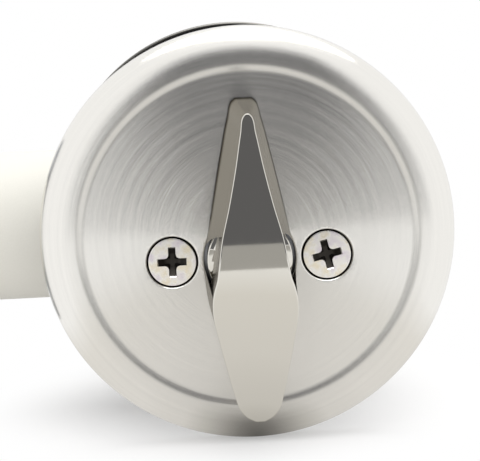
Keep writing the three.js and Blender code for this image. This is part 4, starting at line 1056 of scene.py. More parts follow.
def make_retaining_ring():
    low, high = span("thumbturn_retaining_ring")
    start, stop = RING_MOUTH - math.pi / 2, 1.5 * math.pi - RING_MOUTH
    angles = np.linspace(start, stop, 97)
    outer = [(high[0] * math.cos(a), high[0] * math.sin(a) + SPINDLE_Z_MM) for a in angles]
    reach = [RING_INNER_MM + RING_RELIEF_MM * abs(math.sin(2 * a)) ** 0.7 for a in angles]
    inner = [(r * math.cos(a), r * math.sin(a) + SPINDLE_Z_MM) for r, a in zip(reach, angles)]
    ring = plate("thumbturn_retaining_ring_stamped", outer + inner[::-1], low[1], high[1], edge=0.1)
    smooth(ring)
    hand_in(ring, SPRING_STEEL, "turning_set", "spring_steel", "thumbturn_retaining_ring")


make_retaining_ring()


# Tailpiece: a flat steel blade from the plug through the cam into the thumbturn's stem. Its
# round head and lug are held in the plug's cap, and notches let it be snapped shorter.
BLADE_HALF_MM = 3.175
BLADE_THICKNESS_MM = 1.6
BLADE_TIP_MM = 0.8
BLADE_NOTCH_MM = 0.35
BLADE_NOTCH_PITCH_MM = 6.35
TAIL_HEAD_MM = 1.2
DRIVE_LUG_HEIGHT_MM = 2
DRIVE_LUG_RADII_MM = (2.2, 5.75)
DRIVE_LUG_HALF_ANGLE = math.radians(41)
JOIN_MM = 0.3


def arc(centre, radius, start, stop, steps):
    angles = [start + (stop - start) * i / steps for i in range(steps + 1)]
    return [(centre[0] + radius * math.cos(a), centre[1] + radius * math.sin(a)) for a in angles]


# A sector of a ring. The tailpiece and the plug have one each, and one pushes the other round.
def lug_outline(middle_angle):
    inner, outer = DRIVE_LUG_RADII_MM
    start, stop = middle_angle - DRIVE_LUG_HALF_ANGLE, middle_angle + DRIVE_LUG_HALF_ANGLE
    return (arc((0, SPINDLE_Z_MM), outer, start, stop, 20)
            + arc((0, SPINDLE_Z_MM), inner, stop, start, 12))


def blade_outline(tip_y, root_y):
    half, notch = BLADE_HALF_MM, BLADE_NOTCH_MM
    edge = [(tip_y, half - BLADE_TIP_MM), (tip_y + BLADE_TIP_MM, half)]
    y = tip_y + BLADE_NOTCH_PITCH_MM
    while y < root_y - BLADE_NOTCH_PITCH_MM / 2:
        edge += [(y - notch, half), (y, half - notch), (y + notch, half)]
        y += BLADE_NOTCH_PITCH_MM
    edge.append((root_y, half))
    mirrored = [(y, -z) for y, z in reversed(edge)]
    return [(y, SPINDLE_Z_MM + z) for y, z in edge + mirrored]


def make_tailpiece():
    low, high = span("tailpiece")
    head_front = high[1] - DRIVE_LUG_HEIGHT_MM
    head_back, half = head_front - TAIL_HEAD_MM, BLADE_THICKNESS_MM / 2
    disc = rounded([(0, head_back), (high[0], head_back, 0.2), (high[0], head_front, 0.2),
                    (0, head_front)])
    tail = turned("tailpiece_stamped", disc, SPINDLE_MM, steps=96)
    lug = plate("lug", lug_outline(0), head_front - JOIN_MM, high[1], edge=0.15)
    blade = plate("blade", blade_outline(low[1], head_back + JOIN_MM), -half, half, "X", 0.18)
    combine(tail, [lug, blade], "UNION")
    smooth(tail)
    hand_in(tail, ZINC_PLATE, "turning_set", "plain_steel", "tailpiece")


make_tailpiece()


# Faceplate: a stamped stainless plate let into the door's edge, with the bolt's opening and two
# countersunk holes for wood screws. It is brushed straight along its length.
FACEPLATE_CORNER_MM = 6.35
FACEPLATE_SCREW_Z_MM = 20.675
FACEPLATE_HOLE_MM = 2.4
FACEPLATE_SINK_MM = 4.4
OPENING_CORNER_MM = 1.2
PLATE_STEEL = "CFCCC5"
PLATE_STEEL_CLOUD = "C8C5BE"


def box_outline(half_u, half_v, corner, steps=10):
    return rounded([(-half_u, -half_v, corner), (half_u, -half_v, corner), (half_u, half_v, corner),
                    (-half_u, half_v, corner)], steps)


def bolt_opening(near, far):
    high = span("bolt")[1]
    outline = box_outline(high[1] + RUNNING_GAP_MM, high[2] + RUNNING_GAP_MM, OPENING_CORNER_MM)
    return plate("bolt_opening", outline, near - CUT_PAST_MM, far + CUT_PAST_MM, "X", 0)


def make_faceplate():
    low, high = span("latch_faceplate")
    near, far, past = low[0], high[0], CUT_PAST_MM
    outline = box_outline(high[1], high[2], FACEPLATE_CORNER_MM, 16)
    face = plate("latch_faceplate_brushed", outline, near, far, "X", 0.35)
    sink = rounded([(0, near - past), (FACEPLATE_SINK_MM + 0.9, near - past),
                    (FACEPLATE_SINK_MM, near + 0.02, 0.15), (FACEPLATE_HOLE_MM, far - 0.3, 0.2),
                    (FACEPLATE_HOLE_MM, far + past), (0, far + past)])
    sinks = [turned("sink", sink, (0, 0, z), "X", 96)
             for z in (-FACEPLATE_SCREW_Z_MM, FACEPLATE_SCREW_Z_MM)]
    combine(face, [bolt_opening(near, far), *sinks])
    smooth(face)
    steel = grained_metal("satin_stainless_steel_straight_brushed", PLATE_STEEL, PLATE_STEEL_CLOUD,
                          (0.111, 0.111, 6.25), 0.3, 0.35)
    hand_in(face, steel, "lock", "satin_steel", "latch_faceplate")


make_faceplate()


# Backer plate: zinc-plated steel behind the faceplate, into which the latch tube is staked. Its
# holes line up with the faceplate's.
def make_backer_plate():
    low, high = span("latch_backer_plate")
    near, far = low[0], high[0]
    corner = FACEPLATE_CORNER_MM - (span("latch_faceplate")[1][1] - high[1])
    outline = box_outline(high[1], high[2], corner, 16)
    backer = plate("latch_backer_plate_stamped", outline, near, far, "X", 0.2)
    holes = [drill(FACEPLATE_HOLE_MM, near, far, (0, 0, z), "X")
             for z in (-FACEPLATE_SCREW_Z_MM, FACEPLATE_SCREW_Z_MM)]
    combine(backer, [bolt_opening(near, far), *holes])
    smooth(backer)
    hand_in(backer, ZINC_PLATE, "lock", "plain_steel", "latch_backer_plate")


make_backer_plate()


# Latch tube: thin zinc-plated steel rolled into a barrel that fills the edge bore. Its seam runs
# along the bottom, and two punched dimples hold the case plates' tongues.
TUBE_WALL_MM = 0.7
TUBE_SEAM_MM = 0.16
DIMPLE_RADIUS_MM = 2.4
DIMPLE_DEPTH_MM = 0.4
DIMPLE_SETBACK_MM = 4.5


def make_latch_tube():
    low, high = span("latch_tube")
    near, far, outer = low[0], high[0], high[2]
    inner = outer - TUBE_WALL_MM
    section = rounded([(inner, near, 0.2), (outer, near, 0.2), (outer, far, 0.2), (inner, far, 0.2)])
    tube = turned("latch_tube_rolled", section, axis="X", steps=192, closed=True)
    half, past = TUBE_SEAM_MM / 2, CUT_PAST_MM
    seam = plate("seam", [(-half, -outer - past), (half, -outer - past), (half, past - inner),
                          (-half, past - inner)], near - past, far + past, "X", 0)
    ball = arc((0, 0), DIMPLE_RADIUS_MM, -math.pi / 2, math.pi / 2, 16)
    reach = outer + DIMPLE_RADIUS_MM - DIMPLE_DEPTH_MM
    balls = [turned("dimple", ball, (far - DIMPLE_SETBACK_MM, side * reach, 0), steps=48)
             for side in (-1, 1)]
    combine(tube, [seam, *balls])
    smooth(tube)
    hand_in(tube, ZINC_PLATE, "lock", "plain_steel", "latch_tube")


make_latch_tube()


# Label: one turn of white coated paper glued round the tube, its end lapped over its start. It
# is left bare.
LABEL_SHEET_MM = 0.08
LABEL_LAY = 1.1
LABEL_LAP = 0.4
LABEL_START = math.radians(200)
PAPER_COLOUR = "E6E4DC"
PAPER_FIBRE_COLOUR = "DDDBD2"
FIBRE_MM = 0.1923
FIBRE_DEPTH_MM = 0.02
PAPER_WAVE_MM = 6.25


# Coated paper: white with a slightly warm cast, a faint fibre mottle and soft handling waves.
def label_paper():
    material, tree, shader = new_material("white_label_paper")
    place = add(tree, "ShaderNodeTexCoord")
    fibre = add(tree, "ShaderNodeTexNoise", {"Vector": place.outputs["Object"],
                                             "Scale": scale_for(FIBRE_MM), "Detail": 4.0})
    waves = add(tree, "ShaderNodeTexNoise", {"Vector": place.outputs["Object"],
                                             "Scale": scale_for(PAPER_WAVE_MM), "Detail": 2.0})
    tone = add(tree, "ShaderNodeMix", {0: fibre.outputs["Fac"], 6: linear(PAPER_COLOUR),
                                       7: linear(PAPER_FIBRE_COLOUR)}, data_type="RGBA")
    height = add(tree, "ShaderNodeMath", {0: waves.outputs["Fac"], 1: 6.0}, operation="MULTIPLY")
    both = add(tree, "ShaderNodeMath", {0: height.outputs[0], 1: fibre.outputs["Fac"]},
               operation="ADD")
    bump = add(tree, "ShaderNodeBump", {"Height": both.outputs[0], "Strength": 0.35,
                                        "Distance": FIBRE_DEPTH_MM * MM})
    tree.links.new(tone.outputs[2], shader.inputs["Base Color"])
    tree.links.new(bump.outputs[0], shader.inputs["Normal"])
    shader.inputs["Roughness"].default_value = 0.55
    shader.inputs["Specular IOR Level"].default_value = 0.35
    return material


def make_label():
    low, high = span("latch_label")
    turns = np.linspace(0, 2 * math.pi + LABEL_LAP, 200)
    risen = np.minimum(turns / (2 * math.pi), 1)
    radii = high[2] - LABEL_SHEET_MM * LABEL_LAY * (2 - risen)
    points, faces = [], []
    for radius, turn in zip(radii, LABEL_START + turns):
        outside = radius + LABEL_SHEET_MM
        for x, r in ((low[0], radius), (low[0], outside), (high[0], outside), (high[0], radius)):
            points.append(Vector((x, r * math.cos(turn), r * math.sin(turn))) * MM)
    for i in range(len(turns) - 1):
        for k in range(4):
            here, beside = 4 * i + k, 4 * i + (k + 1) % 4
            faces.append((here, beside, beside + 4, here + 4))
    faces += [(0, 1, 2, 3), tuple(len(points) - 1 - k for k in range(4))]
    label = outward(mesh_object("latch_label_bare", points, faces))
    smooth(label)
    hand_in(label, label_paper(), "lock", "paper", "latch_label")


make_label()


# Bolt: a bar of solid brass with a satin face, bored from behind for the armour pin and notched
# for its tail. It slides out of the faceplate by one inch.
BOLT_CORNER_MM = 1.2
ARMOUR_RADIUS_MM = 3
BORE_CHAMFER_MM = 0.2

# Milled brass: warm yellow, with the cutter's fine lines along the bolt.
BOLT_BRASS = grained_metal("milled_brass_bolt", "D2B47A", "C6A66B", (3.846, 0.125, 0.125), 0.28, 0.25)


def make_bolt():
    low, high = span("bolt")
    tail_low, tail_high = span("bolt_tail")
    gap, past = RUNNING_GAP_MM, CUT_PAST_MM
    outline = box_outline(high[1], high[2], BOLT_CORNER_MM, 6)
    bolt = plate("bolt_milled", outline, low[0], high[0], "X", 0.5)
    bore_end, radius = span("bolt_armour_pin")[0][0] - gap, ARMOUR_RADIUS_MM + gap
    bore = [(0, bore_end), (radius, bore_end), (radius, high[0] - BORE_CHAMFER_MM),
            (radius + past + BORE_CHAMFER_MM, high[0] + past), (0, high[0] + past)]
    half, floor, start = tail_high[1] + gap, tail_low[2] - gap, tail_low[0] - gap
    notch = plate("notch", [(start, floor), (high[0] + past, floor), (high[0] + past, high[2] + past),
                            (start, high[2] + past)], -half, half, "Y", 0)
    combine(bolt, [turned("bore", bore, axis="X", steps=64), notch])
    smooth(bolt)
    hand_in(bolt, BOLT_BRASS, "bolt_set", "brass", "bolt")


make_bolt()


# Armour pin: a hardened steel roller loose in the bolt's bore. It spins under a saw blade, so the
# blade can't bite.
def make_armour_pin():
    low, high = span("bolt_armour_pin")
    radius = high[1]
    profile = rounded([(0, low[0]), (radius * 2 / 3, low[0], 0.3), (radius, low[0] + radius / 3, 0.5),
                       (radius, high[0], 0.4), (0, high[0])])
    pin = turned("bolt_armour_pin_hardened", profile, axis="X", steps=64)
    smooth(pin)
    hand_in(pin, SPRING_STEEL, "bolt_set", "spring_steel", "bolt_armour_pin")


make_armour_pin()


# Bolt tail: two zinc-plated strips joined by a tongue in the bolt's notch. They pass either side
# of the cam and end in the eyes that hold the tail pin.
TAIL_PIN_MM = 1.6
TAIL_EYE_MM = 2.6
TAIL_GAP_MM = 1.7
TAIL_CRANK_MM = 12.7
TAIL_SINK_MM = 0.15
SNUG_GAP_MM = 0.15


def make_bolt_tail():
    low, high = span("bolt_tail")
    bolt_high, past = span("bolt")[1], CUT_PAST_MM
    pin_x, pin_z = TAIL_CRANK_MM, SPINDLE_Z_MM + TAIL_CRANK_MM
    top = bolt_high[2] - TAIL_SINK_MM
    eye_edge = arc((pin_x, pin_z), TAIL_EYE_MM, -math.pi / 2, math.pi, 32)
    outline = rounded([(low[0], low[2], 0.6), *eye_edge, (pin_x - TAIL_EYE_MM, top, 0.2),
                       (low[0], top, 0.6)])
    tail = plate("bolt_tail_stamped", outline, low[1], high[1], "Y", 0.15)
    start = bolt_high[0] + RUNNING_GAP_MM
    slot = plate("slot", [(start, low[2] - past), (high[0] + past, low[2] - past),
                          (high[0] + past, high[2] + past), (start, high[2] + past)],
                 -TAIL_GAP_MM, TAIL_GAP_MM, "Y", 0)
    eye = drill(TAIL_PIN_MM + SNUG_GAP_MM, low[1], high[1], (pin_x, 0, pin_z))
    combine(tail, [eye])
    combine(tail, [slot])
    smooth(tail)
    hand_in(tail, ZINC_PLATE, "bolt_set", "plain_steel", "bolt_tail")
    low, high = span("bolt_tail_pin")
    profile = rounded([(0, low[1]), (TAIL_PIN_MM, low[1], 0.3), (TAIL_PIN_MM, high[1], 0.3),
                       (0, high[1])])
    pin = turned("bolt_tail_pin_turned", profile, (pin_x, 0, pin_z), steps=48)
    smooth(pin)
    hand_in(pin, SPRING_STEEL, "bolt_set", "spring_steel", "bolt_tail_pin")


make_bolt_tail()


# Latch cam: pressed and sintered steel. The blade turns its hub, and its forked arm swings the
# tail pin across; the slot's sides are the pin's own path, set out by the pin's radius.
CAM_HALF_MM = 1.4
CAM_HUB_MM = 6
CAM_JOURNAL_MM = 4.3
CAM_FORK_HALF_MM = 4.6
CAM_FORK_REACH_MM = 1.8
CAM_FORK_CHAMFER_MM = 2.4
CAM_CASE_HALF_MM = 7
CAM_SLOT_CLEAR_MM = 1.75
SLOT_STEPS = 24
SINTER_COLOUR = "7F8184"
SINTER_CLOUD_COLOUR = "949699"
SINTER_CLOUD_MM = 3.333
PORE_MM = 0.1923
PORE_DEPTH_MM = 0.03


# The tail pin's path as the turning cam meets it, from the middle of its travel, 0, to an end,
# 1. The other half of the slot is its mirror image.
def pin_path(share):
    angle, slide = share * math.pi / 4, TAIL_CRANK_MM * share
    return Vector((slide * math.cos(angle) - TAIL_CRANK_MM * math.sin(angle),
                   slide * math.sin(angle) + TAIL_CRANK_MM * math.cos(angle)))


def slot_edge(share, clear):
    along = (pin_path(share + 0.01) - pin_path(share - 0.01)).normalized()
    return pin_path(share) + Vector((along.y, -along.x)) * clear


# Sintered steel: dark grey and even, with the fine pores of pressed powder.
def sintered_steel():
    material, tree, shader = new_material("sintered_steel")
    place = add(tree, "ShaderNodeTexCoord")
    pores = add(tree, "ShaderNodeTexVoronoi", {"Vector": place.outputs["Object"],
                                               "Scale": scale_for(PORE_MM)})
    cloud = add(tree, "ShaderNodeTexNoise", {"Vector": place.outputs["Object"],
                                             "Scale": scale_for(SINTER_CLOUD_MM), "Detail": 3.0})
    tone = add(tree, "ShaderNodeMix", {0: cloud.outputs["Fac"], 6: linear(SINTER_COLOUR),
                                       7: linear(SINTER_CLOUD_COLOUR)}, data_type="RGBA")
    bump = add(tree, "ShaderNodeBump", {"Height": pores.outputs["Distance"], "Strength": 0.5,
                                        "Distance": PORE_DEPTH_MM * MM})
    tree.links.new(tone.outputs[2], shader.inputs["Base Color"])
    tree.links.new(bump.outputs[0], shader.inputs["Normal"])
    shader.inputs["Roughness"].default_value = 0.46
    shader.inputs["Metallic"].default_value = 1
    return material


def make_latch_cam():
    low, high = span("latch_cam")
    half, tip = CAM_FORK_HALF_MM, TAIL_CRANK_MM * math.sqrt(2) + CAM_FORK_REACH_MM
    clear, corner = CAM_SLOT_CLEAR_MM, CAM_FORK_CHAMFER_MM
    side = [tuple(slot_edge(i / SLOT_STEPS, clear)) for i in range(SLOT_STEPS + 1)]
    slot = side + [(clear, tip + 2), (-clear, tip + 2)] + [(-x, z) for x, z in side[1:]][::-1]
    fork = rounded([(-half, 0), (half, 0), (half, tip - corner, 1), (half - corner, tip, 1),
                    (corner - half, tip, 1), (-half, tip - corner, 1)])
    turn = math.sqrt(0.5)
    fork, slot = ([((x + z) * turn, SPINDLE_Z_MM + (z - x) * turn) for x, z in outline]
                  for outline in (fork, slot))
    cam = plate("latch_cam_sintered", fork, -CAM_HALF_MM, CAM_HALF_MM, "Y", 0.2)
    wide = CAM_CASE_HALF_MM - RUNNING_GAP_MM
    hub = rounded([(0, low[1]), (CAM_JOURNAL_MM, low[1], 0.25), (CAM_JOURNAL_MM, -wide),
                   (CAM_HUB_MM, -wide, 0.3), (CAM_HUB_MM, wide, 0.3), (CAM_JOURNAL_MM, wide),
                   (CAM_JOURNAL_MM, high[1], 0.25), (0, high[1])])
    combine(cam, [turned("hub", hub, SPINDLE_MM, steps=96)], "UNION")
    combine(cam, [plate("slot", slot, -CAM_HALF_MM - 3, CAM_HALF_MM + 3, "Y", 0)])
    half_x, half_z = BLADE_THICKNESS_MM / 2 + RUNNING_GAP_MM, BLADE_HALF_MM + RUNNING_GAP_MM
    hole = [(x, z + SPINDLE_Z_MM) for x, z in box_outline(half_x, half_z, 0.25, 4)]
    combine(cam, [plate("blade_hole", hole, low[1] - CUT_PAST_MM, high[1] + CUT_PAST_MM, "Y", 0)])
    smooth(cam)
    hand_in(cam, sintered_steel(), "turning_set", "plain_steel", "latch_cam")


make_latch_cam()


# Latch case: two zinc-plated side plates that carry the cam's journals and tuck their tongues
# into the tube. Two rivets with turned spacers hold them apart.
CASE_CORNER_MM = 3
CASE_TONGUE_MM = 9
CASE_TONGUE_HALF_MM = 7.8
RIVET_X_MM = 17.1
RIVET_Z_MM = (3.1, -5.9)
RIVET_RADIUS_MM = 1.4
RIVET_HEAD_MM = 2.3
RIVET_HEAD_HEIGHT_MM = 0.8
RIVET_EDGE_MM = 0.15


def make_case_plate(name):
    low, high = span(name)
    shoulder, tall, tongue = low[0] + CASE_TONGUE_MM, high[2], CASE_TONGUE_HALF_MM
    outline = rounded([(low[0], -tongue, 1), (shoulder, -tongue, 0.5), (shoulder, -tall, 0.5),
                       (high[0], -tall, CASE_CORNER_MM * 1.6), (high[0], tall, CASE_CORNER_MM * 1.6),
                       (shoulder, tall, 0.5), (shoulder, tongue, 0.5), (low[0], tongue, 1)], 8)
    side = plate(f"{name}_stamped", outline, low[1], high[1], "Y", 0.12)
    holes = [drill(CAM_JOURNAL_MM + RUNNING_GAP_MM, low[1], high[1], SPINDLE_MM, flare=0.1, steps=96)]
    holes += [drill(SCREW_HOLE_MM, low[1], high[1], (x, 0, SPINDLE_Z_MM), flare=0.1)
              for x in (-SCREW_X_MM, SCREW_X_MM)]
    holes += [drill(RIVET_RADIUS_MM + SNUG_GAP_MM, low[1], high[1], (RIVET_X_MM, 0, z), flare=0.05)
              for z in RIVET_Z_MM]
    combine(side, holes)
    smooth(side)
    hand_in(side, ZINC_PLATE, "lock", "plain_steel", name)


for case_side in ("latch_case_near", "latch_case_far"):
    make_case_plate(case_side)


# A row of like parts: the tree sets one made part out at an even step.
def row_tree(material):
    tree, given, made = nodes_tree("row_of_parts", ["Count", "Step X", "Step Y", "Step Z"])
    step = add(tree, "ShaderNodeCombineXYZ", {0: given.outputs["Step X"], 1: given.outputs["Step Y"],
                                              2: given.outputs["Step Z"]})
    line = add(tree, "GeometryNodeMeshLine", {"Count": given.outputs["Count"],
                                              "Offset": step.outputs[0]})
    parts = add(tree, "GeometryNodeInstanceOnPoints", {"Points": line.outputs[0],
                                                       "Instance": given.outputs["Geometry"]})
    real = add(tree, "GeometryNodeRealizeInstances", {0: parts.outputs[0]})
    finish = add(tree, "GeometryNodeSetMaterial", {"Geometry": real.outputs[0], "Material": material})
    tree.links.new(finish.outputs[0], made.inputs[0])
    return tree


def set_out(part, material, count, step_mm):
    x, y, z = (s * MM for s in step_mm)
    sizes = {"Count": float(count), "Step X": x, "Step Y": y, "Step Z": z}
    return grow(part, row_tree(material), sizes)


def make_case_rivets():
    high = span("case_rivet_upper")[1]
    plate_out, plate_in = high[1] - RIVET_HEAD_HEIGHT_MM, CAM_CASE_HALF_MM - SNUG_GAP_MM
    dome = quarter((0, plate_out + RIVET_EDGE_MM), RIVET_HEAD_MM, RIVET_HEAD_HEIGHT_MM - RIVET_EDGE_MM,
                   0, 1, 10)
    side = rounded([(RIVET_HEAD_MM, 0), (RIVET_HEAD_MM, plate_in, 0.15), (RIVET_RADIUS_MM, plate_in),
                    (RIVET_RADIUS_MM, plate_out), (RIVET_HEAD_MM, plate_out, 0.1), *dome])
    profile = [(r, -y) for r, y in reversed(side)] + side[1:]
    rivet = turned("case_rivets_headed", profile, (RIVET_X_MM, 0, RIVET_Z_MM[0]), steps=48)
    smooth(rivet)
    set_out(rivet, ZINC_PLATE, 2, (0, 0, RIVET_Z_MM[1] - RIVET_Z_MM[0]))
    hand_in(rivet, ZINC_PLATE, "lock", "plain_steel", "case_rivet_upper", "case_rivet_lower")


make_case_rivets()


# Collar: the tapered guard round the key cylinder, turned from steel and brushed in circles like
# the rose. Its rear rim is darkened with painted shade. It sits loose round the cylinder body, so
# that it spins if it is gripped.
COLLAR_EDGE_MM = 3
COLLAR_FRONT_ROUND_MM = 2.2
COLLAR_FRONT_MM = 25.5
COLLAR_MOUTH_MM = 19.8
COLLAR_WALL_MM = 1.9
COLLAR_LIP_MM = 2.4
RIM_SHADE_COLOUR = "4A4947"
COLLAR_COLOUR = "C9C6BF"
RIM_SHADE_MM = 0.5


# The collar's steel is the rose's, darkened with painted shade on its rear rim, within half a
# millimetre of it.
def collar_steel(rim_y):
    material = ring_brushed_steel("satin_steel_ring_brushed_with_painted_rim_shade", COLLAR_COLOUR)
    tree = material.node_tree
    shader = tree.nodes["Principled BSDF"]
    brushed = shader.inputs["Base Color"].links[0].from_socket
    place = add(tree, "ShaderNodeTexCoord")
    axes = add(tree, "ShaderNodeSeparateXYZ", {0: place.outputs["Object"]})
    # Painted shade: the colour darkens over the last half millimetre towards the rear rim.
    fade = add(tree, "ShaderNodeMapRange", {"Value": axes.outputs["Y"], "From Min": rim_y * MM,
                                            "From Max": (rim_y + RIM_SHADE_MM) * MM})
    tone = add(tree, "ShaderNodeMix", {0: fade.outputs["Result"], 6: linear(RIM_SHADE_COLOUR),
                                       7: brushed}, data_type="RGBA")
    tree.links.new(tone.outputs[2], shader.inputs["Base Color"])
    return material


def make_collar():
    low, high = span("exterior_collar")
    radius, rear, face = high[0], low[1], high[1]
    edge, back, shoulder = rear + COLLAR_EDGE_MM, face - COLLAR_LIP_MM, COLLAR_FRONT_ROUND_MM
    wall = COLLAR_WALL_MM
    inner = COLLAR_FRONT_MM - wall
    section = rounded([(radius - wall, rear, 0.2), (radius, rear, 0.4), (radius, edge, 0.8),
                       (COLLAR_FRONT_MM, face - shoulder * 0.6, 1.8),
                       (COLLAR_FRONT_MM - shoulder, face, 1.2), (COLLAR_MOUTH_MM, face, 0.35),
                       (COLLAR_MOUTH_MM, back, 0.2), (inner - wall, back), (inner, back - wall),
                       (radius - wall, edge)], 8)
    collar = turned("exterior_collar_brushed", section, closed=True)
    smooth(collar)
    hand_in(collar, collar_steel(rear), "lock", "satin_steel", "exterior_collar")


make_collar()


# Cylinder body: die-cast zinc with a satin-plated face inside the collar's mouth. Behind its
# flange are the barrel round the plug, the block of pin chambers and two bosses for the posts.
BODY_FACE_MM = 19.4
BODY_SHOULDER_MM = 2.6
BODY_FLANGE_MM = 3.1
BARREL_MM = 10.4
PIN_BLOCK_HALF_MM = 4.8
PIN_BLOCK_TOP_MM = 15.55
BOSS_RADIUS_MM = 5.2
BOSS_STEP_MM = 4.8
PLUG_RADIUS_MM = 6.35
PLUG_GAP_MM = 0.25
POST_RADIUS_MM = 3.5
POST_SEAT_MM = 6
PIN_COUNT = 5
PIN_SPACING_MM = 3.8
PIN_FRONT_Y_MM = 35.025
PIN_RADIUS_MM = 1.3
FACE_GROOVE_IN_MM = 1.2
FACE_GROOVE_OUT_MM = 2.6
FACE_GROOVE_FLANK_MM = 0.4
FACE_GROOVE_DEPTH_MM = 0.35
CAST_COLOUR = "8C8D90"
CAST_CLOUD_COLOUR = "78797D"
CAST_CLOUD_MM = 7.143
SKIN_MM = 0.625
SKIN_DEPTH_MM = 0.03
PLATED_SKIN_DEPTH_MM = 0.003
PLATED_FROM_MM = 2.6
PLATED_FULL_MM = 2.2


# Die-cast zinc: matt grey with a fine orange-peel skin, changing to satin nickel plate on the
# face that shows.
def cast_zinc(face_y):
    material, tree, shader = new_material("die_cast_zinc_with_satin_face")
    place = add(tree, "ShaderNodeTexCoord")
    skin = add(tree, "ShaderNodeTexNoise", {"Vector": place.outputs["Object"],
                                            "Scale": scale_for(SKIN_MM), "Detail": 4.0})
    cloud = add(tree, "ShaderNodeTexNoise", {"Vector": place.outputs["Object"],
                                             "Scale": scale_for(CAST_CLOUD_MM), "Detail": 3.0})
    cast = add(tree, "ShaderNodeMix", {0: cloud.outputs["Fac"], 6: linear(CAST_COLOUR),
                                       7: linear(CAST_CLOUD_COLOUR)}, data_type="RGBA")
    axes = add(tree, "ShaderNodeSeparateXYZ", {0: place.outputs["Object"]})
    plated = add(tree, "ShaderNodeMapRange", {"Value": axes.outputs["Y"],
                                              "From Min": (face_y - PLATED_FROM_MM) * MM,
                                              "From Max": (face_y - PLATED_FULL_MM) * MM})
    tone = add(tree, "ShaderNodeMix", {0: plated.outputs["Result"], 6: cast.outputs[2],
                                       7: linear(NICKEL_COLOUR)}, data_type="RGBA")
    rough = add(tree, "ShaderNodeMapRange", {"Value": plated.outputs["Result"], "To Min": 0.55,
                                             "To Max": 0.26})
    depth = add(tree, "ShaderNodeMapRange", {"Value": plated.outputs["Result"],
                                             "To Min": SKIN_DEPTH_MM * MM,
                                             "To Max": PLATED_SKIN_DEPTH_MM * MM})
    bump = add(tree, "ShaderNodeBump", {"Height": skin.outputs["Fac"], "Strength": 0.6,
                                        "Distance": depth.outputs["Result"]})
    tree.links.new(tone.outputs[2], shader.inputs["Base Color"])
    tree.links.new(rough.outputs["Result"], shader.inputs["Roughness"])
    tree.links.new(bump.outputs[0], shader.inputs["Normal"])
    shader.inputs["Metallic"].default_value = 1
    return material


# The pins stand in a row from the key's side inwards.
def pin_y(i):
    return PIN_FRONT_Y_MM - i * PIN_SPACING_MM


def make_cylinder_body():
    low, high = span("cylinder_body")
    face, rear, wide = high[1], low[1], high[0]
    cover_low, cover_high = span("pin_chamber_cover")
    step = span("exterior_collar")[1][1] - COLLAR_LIP_MM - RUNNING_GAP_MM
    back = face - BODY_FLANGE_MM - BODY_SHOULDER_MM
    outer, inner = PLUG_RADIUS_MM + FACE_GROOVE_OUT_MM, PLUG_RADIUS_MM + FACE_GROOVE_IN_MM
    flank, floor = FACE_GROOVE_FLANK_MM, face - FACE_GROOVE_DEPTH_MM
    front_plate = rounded([(0, back), (wide, back, 0.5), (wide, step, 0.4), (BODY_FACE_MM, step, 0.4),
                           (BODY_FACE_MM, face, 0.5), (outer, face, 0.3), (outer - flank, floor, 0.2),
                           (inner + flank, floor, 0.2), (inner, face, 0.3), (0, face)])
    body = turned("cylinder_body_cast", front_plate, steps=192)
    joined = back + 0.5
    barrel = rounded([(0, rear), (BARREL_MM, rear, 0.5), (BARREL_MM, joined), (0, joined)])
    boss_rear = rear + BOSS_STEP_MM
    boss = rounded([(0, boss_rear), (BOSS_RADIUS_MM, boss_rear, 0.4), (BOSS_RADIUS_MM, joined),
                    (0, joined)])
    half, top, past = PIN_BLOCK_HALF_MM, PIN_BLOCK_TOP_MM, CUT_PAST_MM
    block = rounded([(-half, SPINDLE_Z_MM), (half, SPINDLE_Z_MM), (half, top, 0.6), (-half, top, 0.6)])
    parts = [turned("barrel", barrel, SPINDLE_MM, steps=128),
             plate("pin_block", block, rear, joined, "Y", 0.3)]
    parts += [turned("boss", boss, (x, 0, SPINDLE_Z_MM), steps=72) for x in (-SCREW_X_MM, SCREW_X_MM)]
    combine(body, parts, "UNION")
    cutters = [drill(PLUG_RADIUS_MM + PLUG_GAP_MM, rear, face, SPINDLE_MM, flare=0.15, steps=128)]
    seat, seat_radius = boss_rear + POST_SEAT_MM, POST_RADIUS_MM + SNUG_GAP_MM
    post = [(0, rear - past), (seat_radius, rear - past), (seat_radius, seat), (0, seat)]
    cutters += [turned("post_seat", post, (x, 0, SPINDLE_Z_MM), steps=64)
                for x in (-SCREW_X_MM, SCREW_X_MM)]
    bore = PIN_RADIUS_MM + RUNNING_GAP_MM
    chamber = [(0, SPINDLE_Z_MM), (bore, SPINDLE_Z_MM), (bore, top + past), (0, top + past)]
    cutters += [turned("chamber", chamber, (0, pin_y(i), 0), "Z", 40) for i in range(PIN_COUNT)]
    half, floor = cover_high[0] + RUNNING_GAP_MM, cover_low[2] - SNUG_GAP_MM
    groove = [(-half, floor), (half, floor), (half, top + past), (-half, top + past)]
    cutters.append(plate("cover_groove", groove, cover_low[1] - RUNNING_GAP_MM,
                         cover_high[1] + RUNNING_GAP_MM, "Y", 0))
    combine(body, cutters)
    smooth(body)
    hand_in(body, cast_zinc(face), "lock", "cast_zinc", "cylinder_body")


make_cylinder_body()


# Plug: turned brass that the key goes into, with a stepped keyway, five pin chambers and a drive
# lug behind. Its face stands just proud of the body's.
KEYWAY_HALF_MM = 0.95
KEYWAY_TOP_MM = 2.4
KEYWAY_STEP_MM = 0.8
KEYWAY_STEP_HEIGHT_MM = 2.1
PLUG_RIM_MM = 1
PLUG_DISH_MM = 0.25
CAP_WALL_MM = 1.3

# Turned brass: the bolt's warm yellow a little smoother, with no lines along any way.
PLUG_BRASS = grained_metal("turned_brass", "CFB076", "C0A063", (0.1667, 0.1667, 0.1667), 0.26, 0.15)


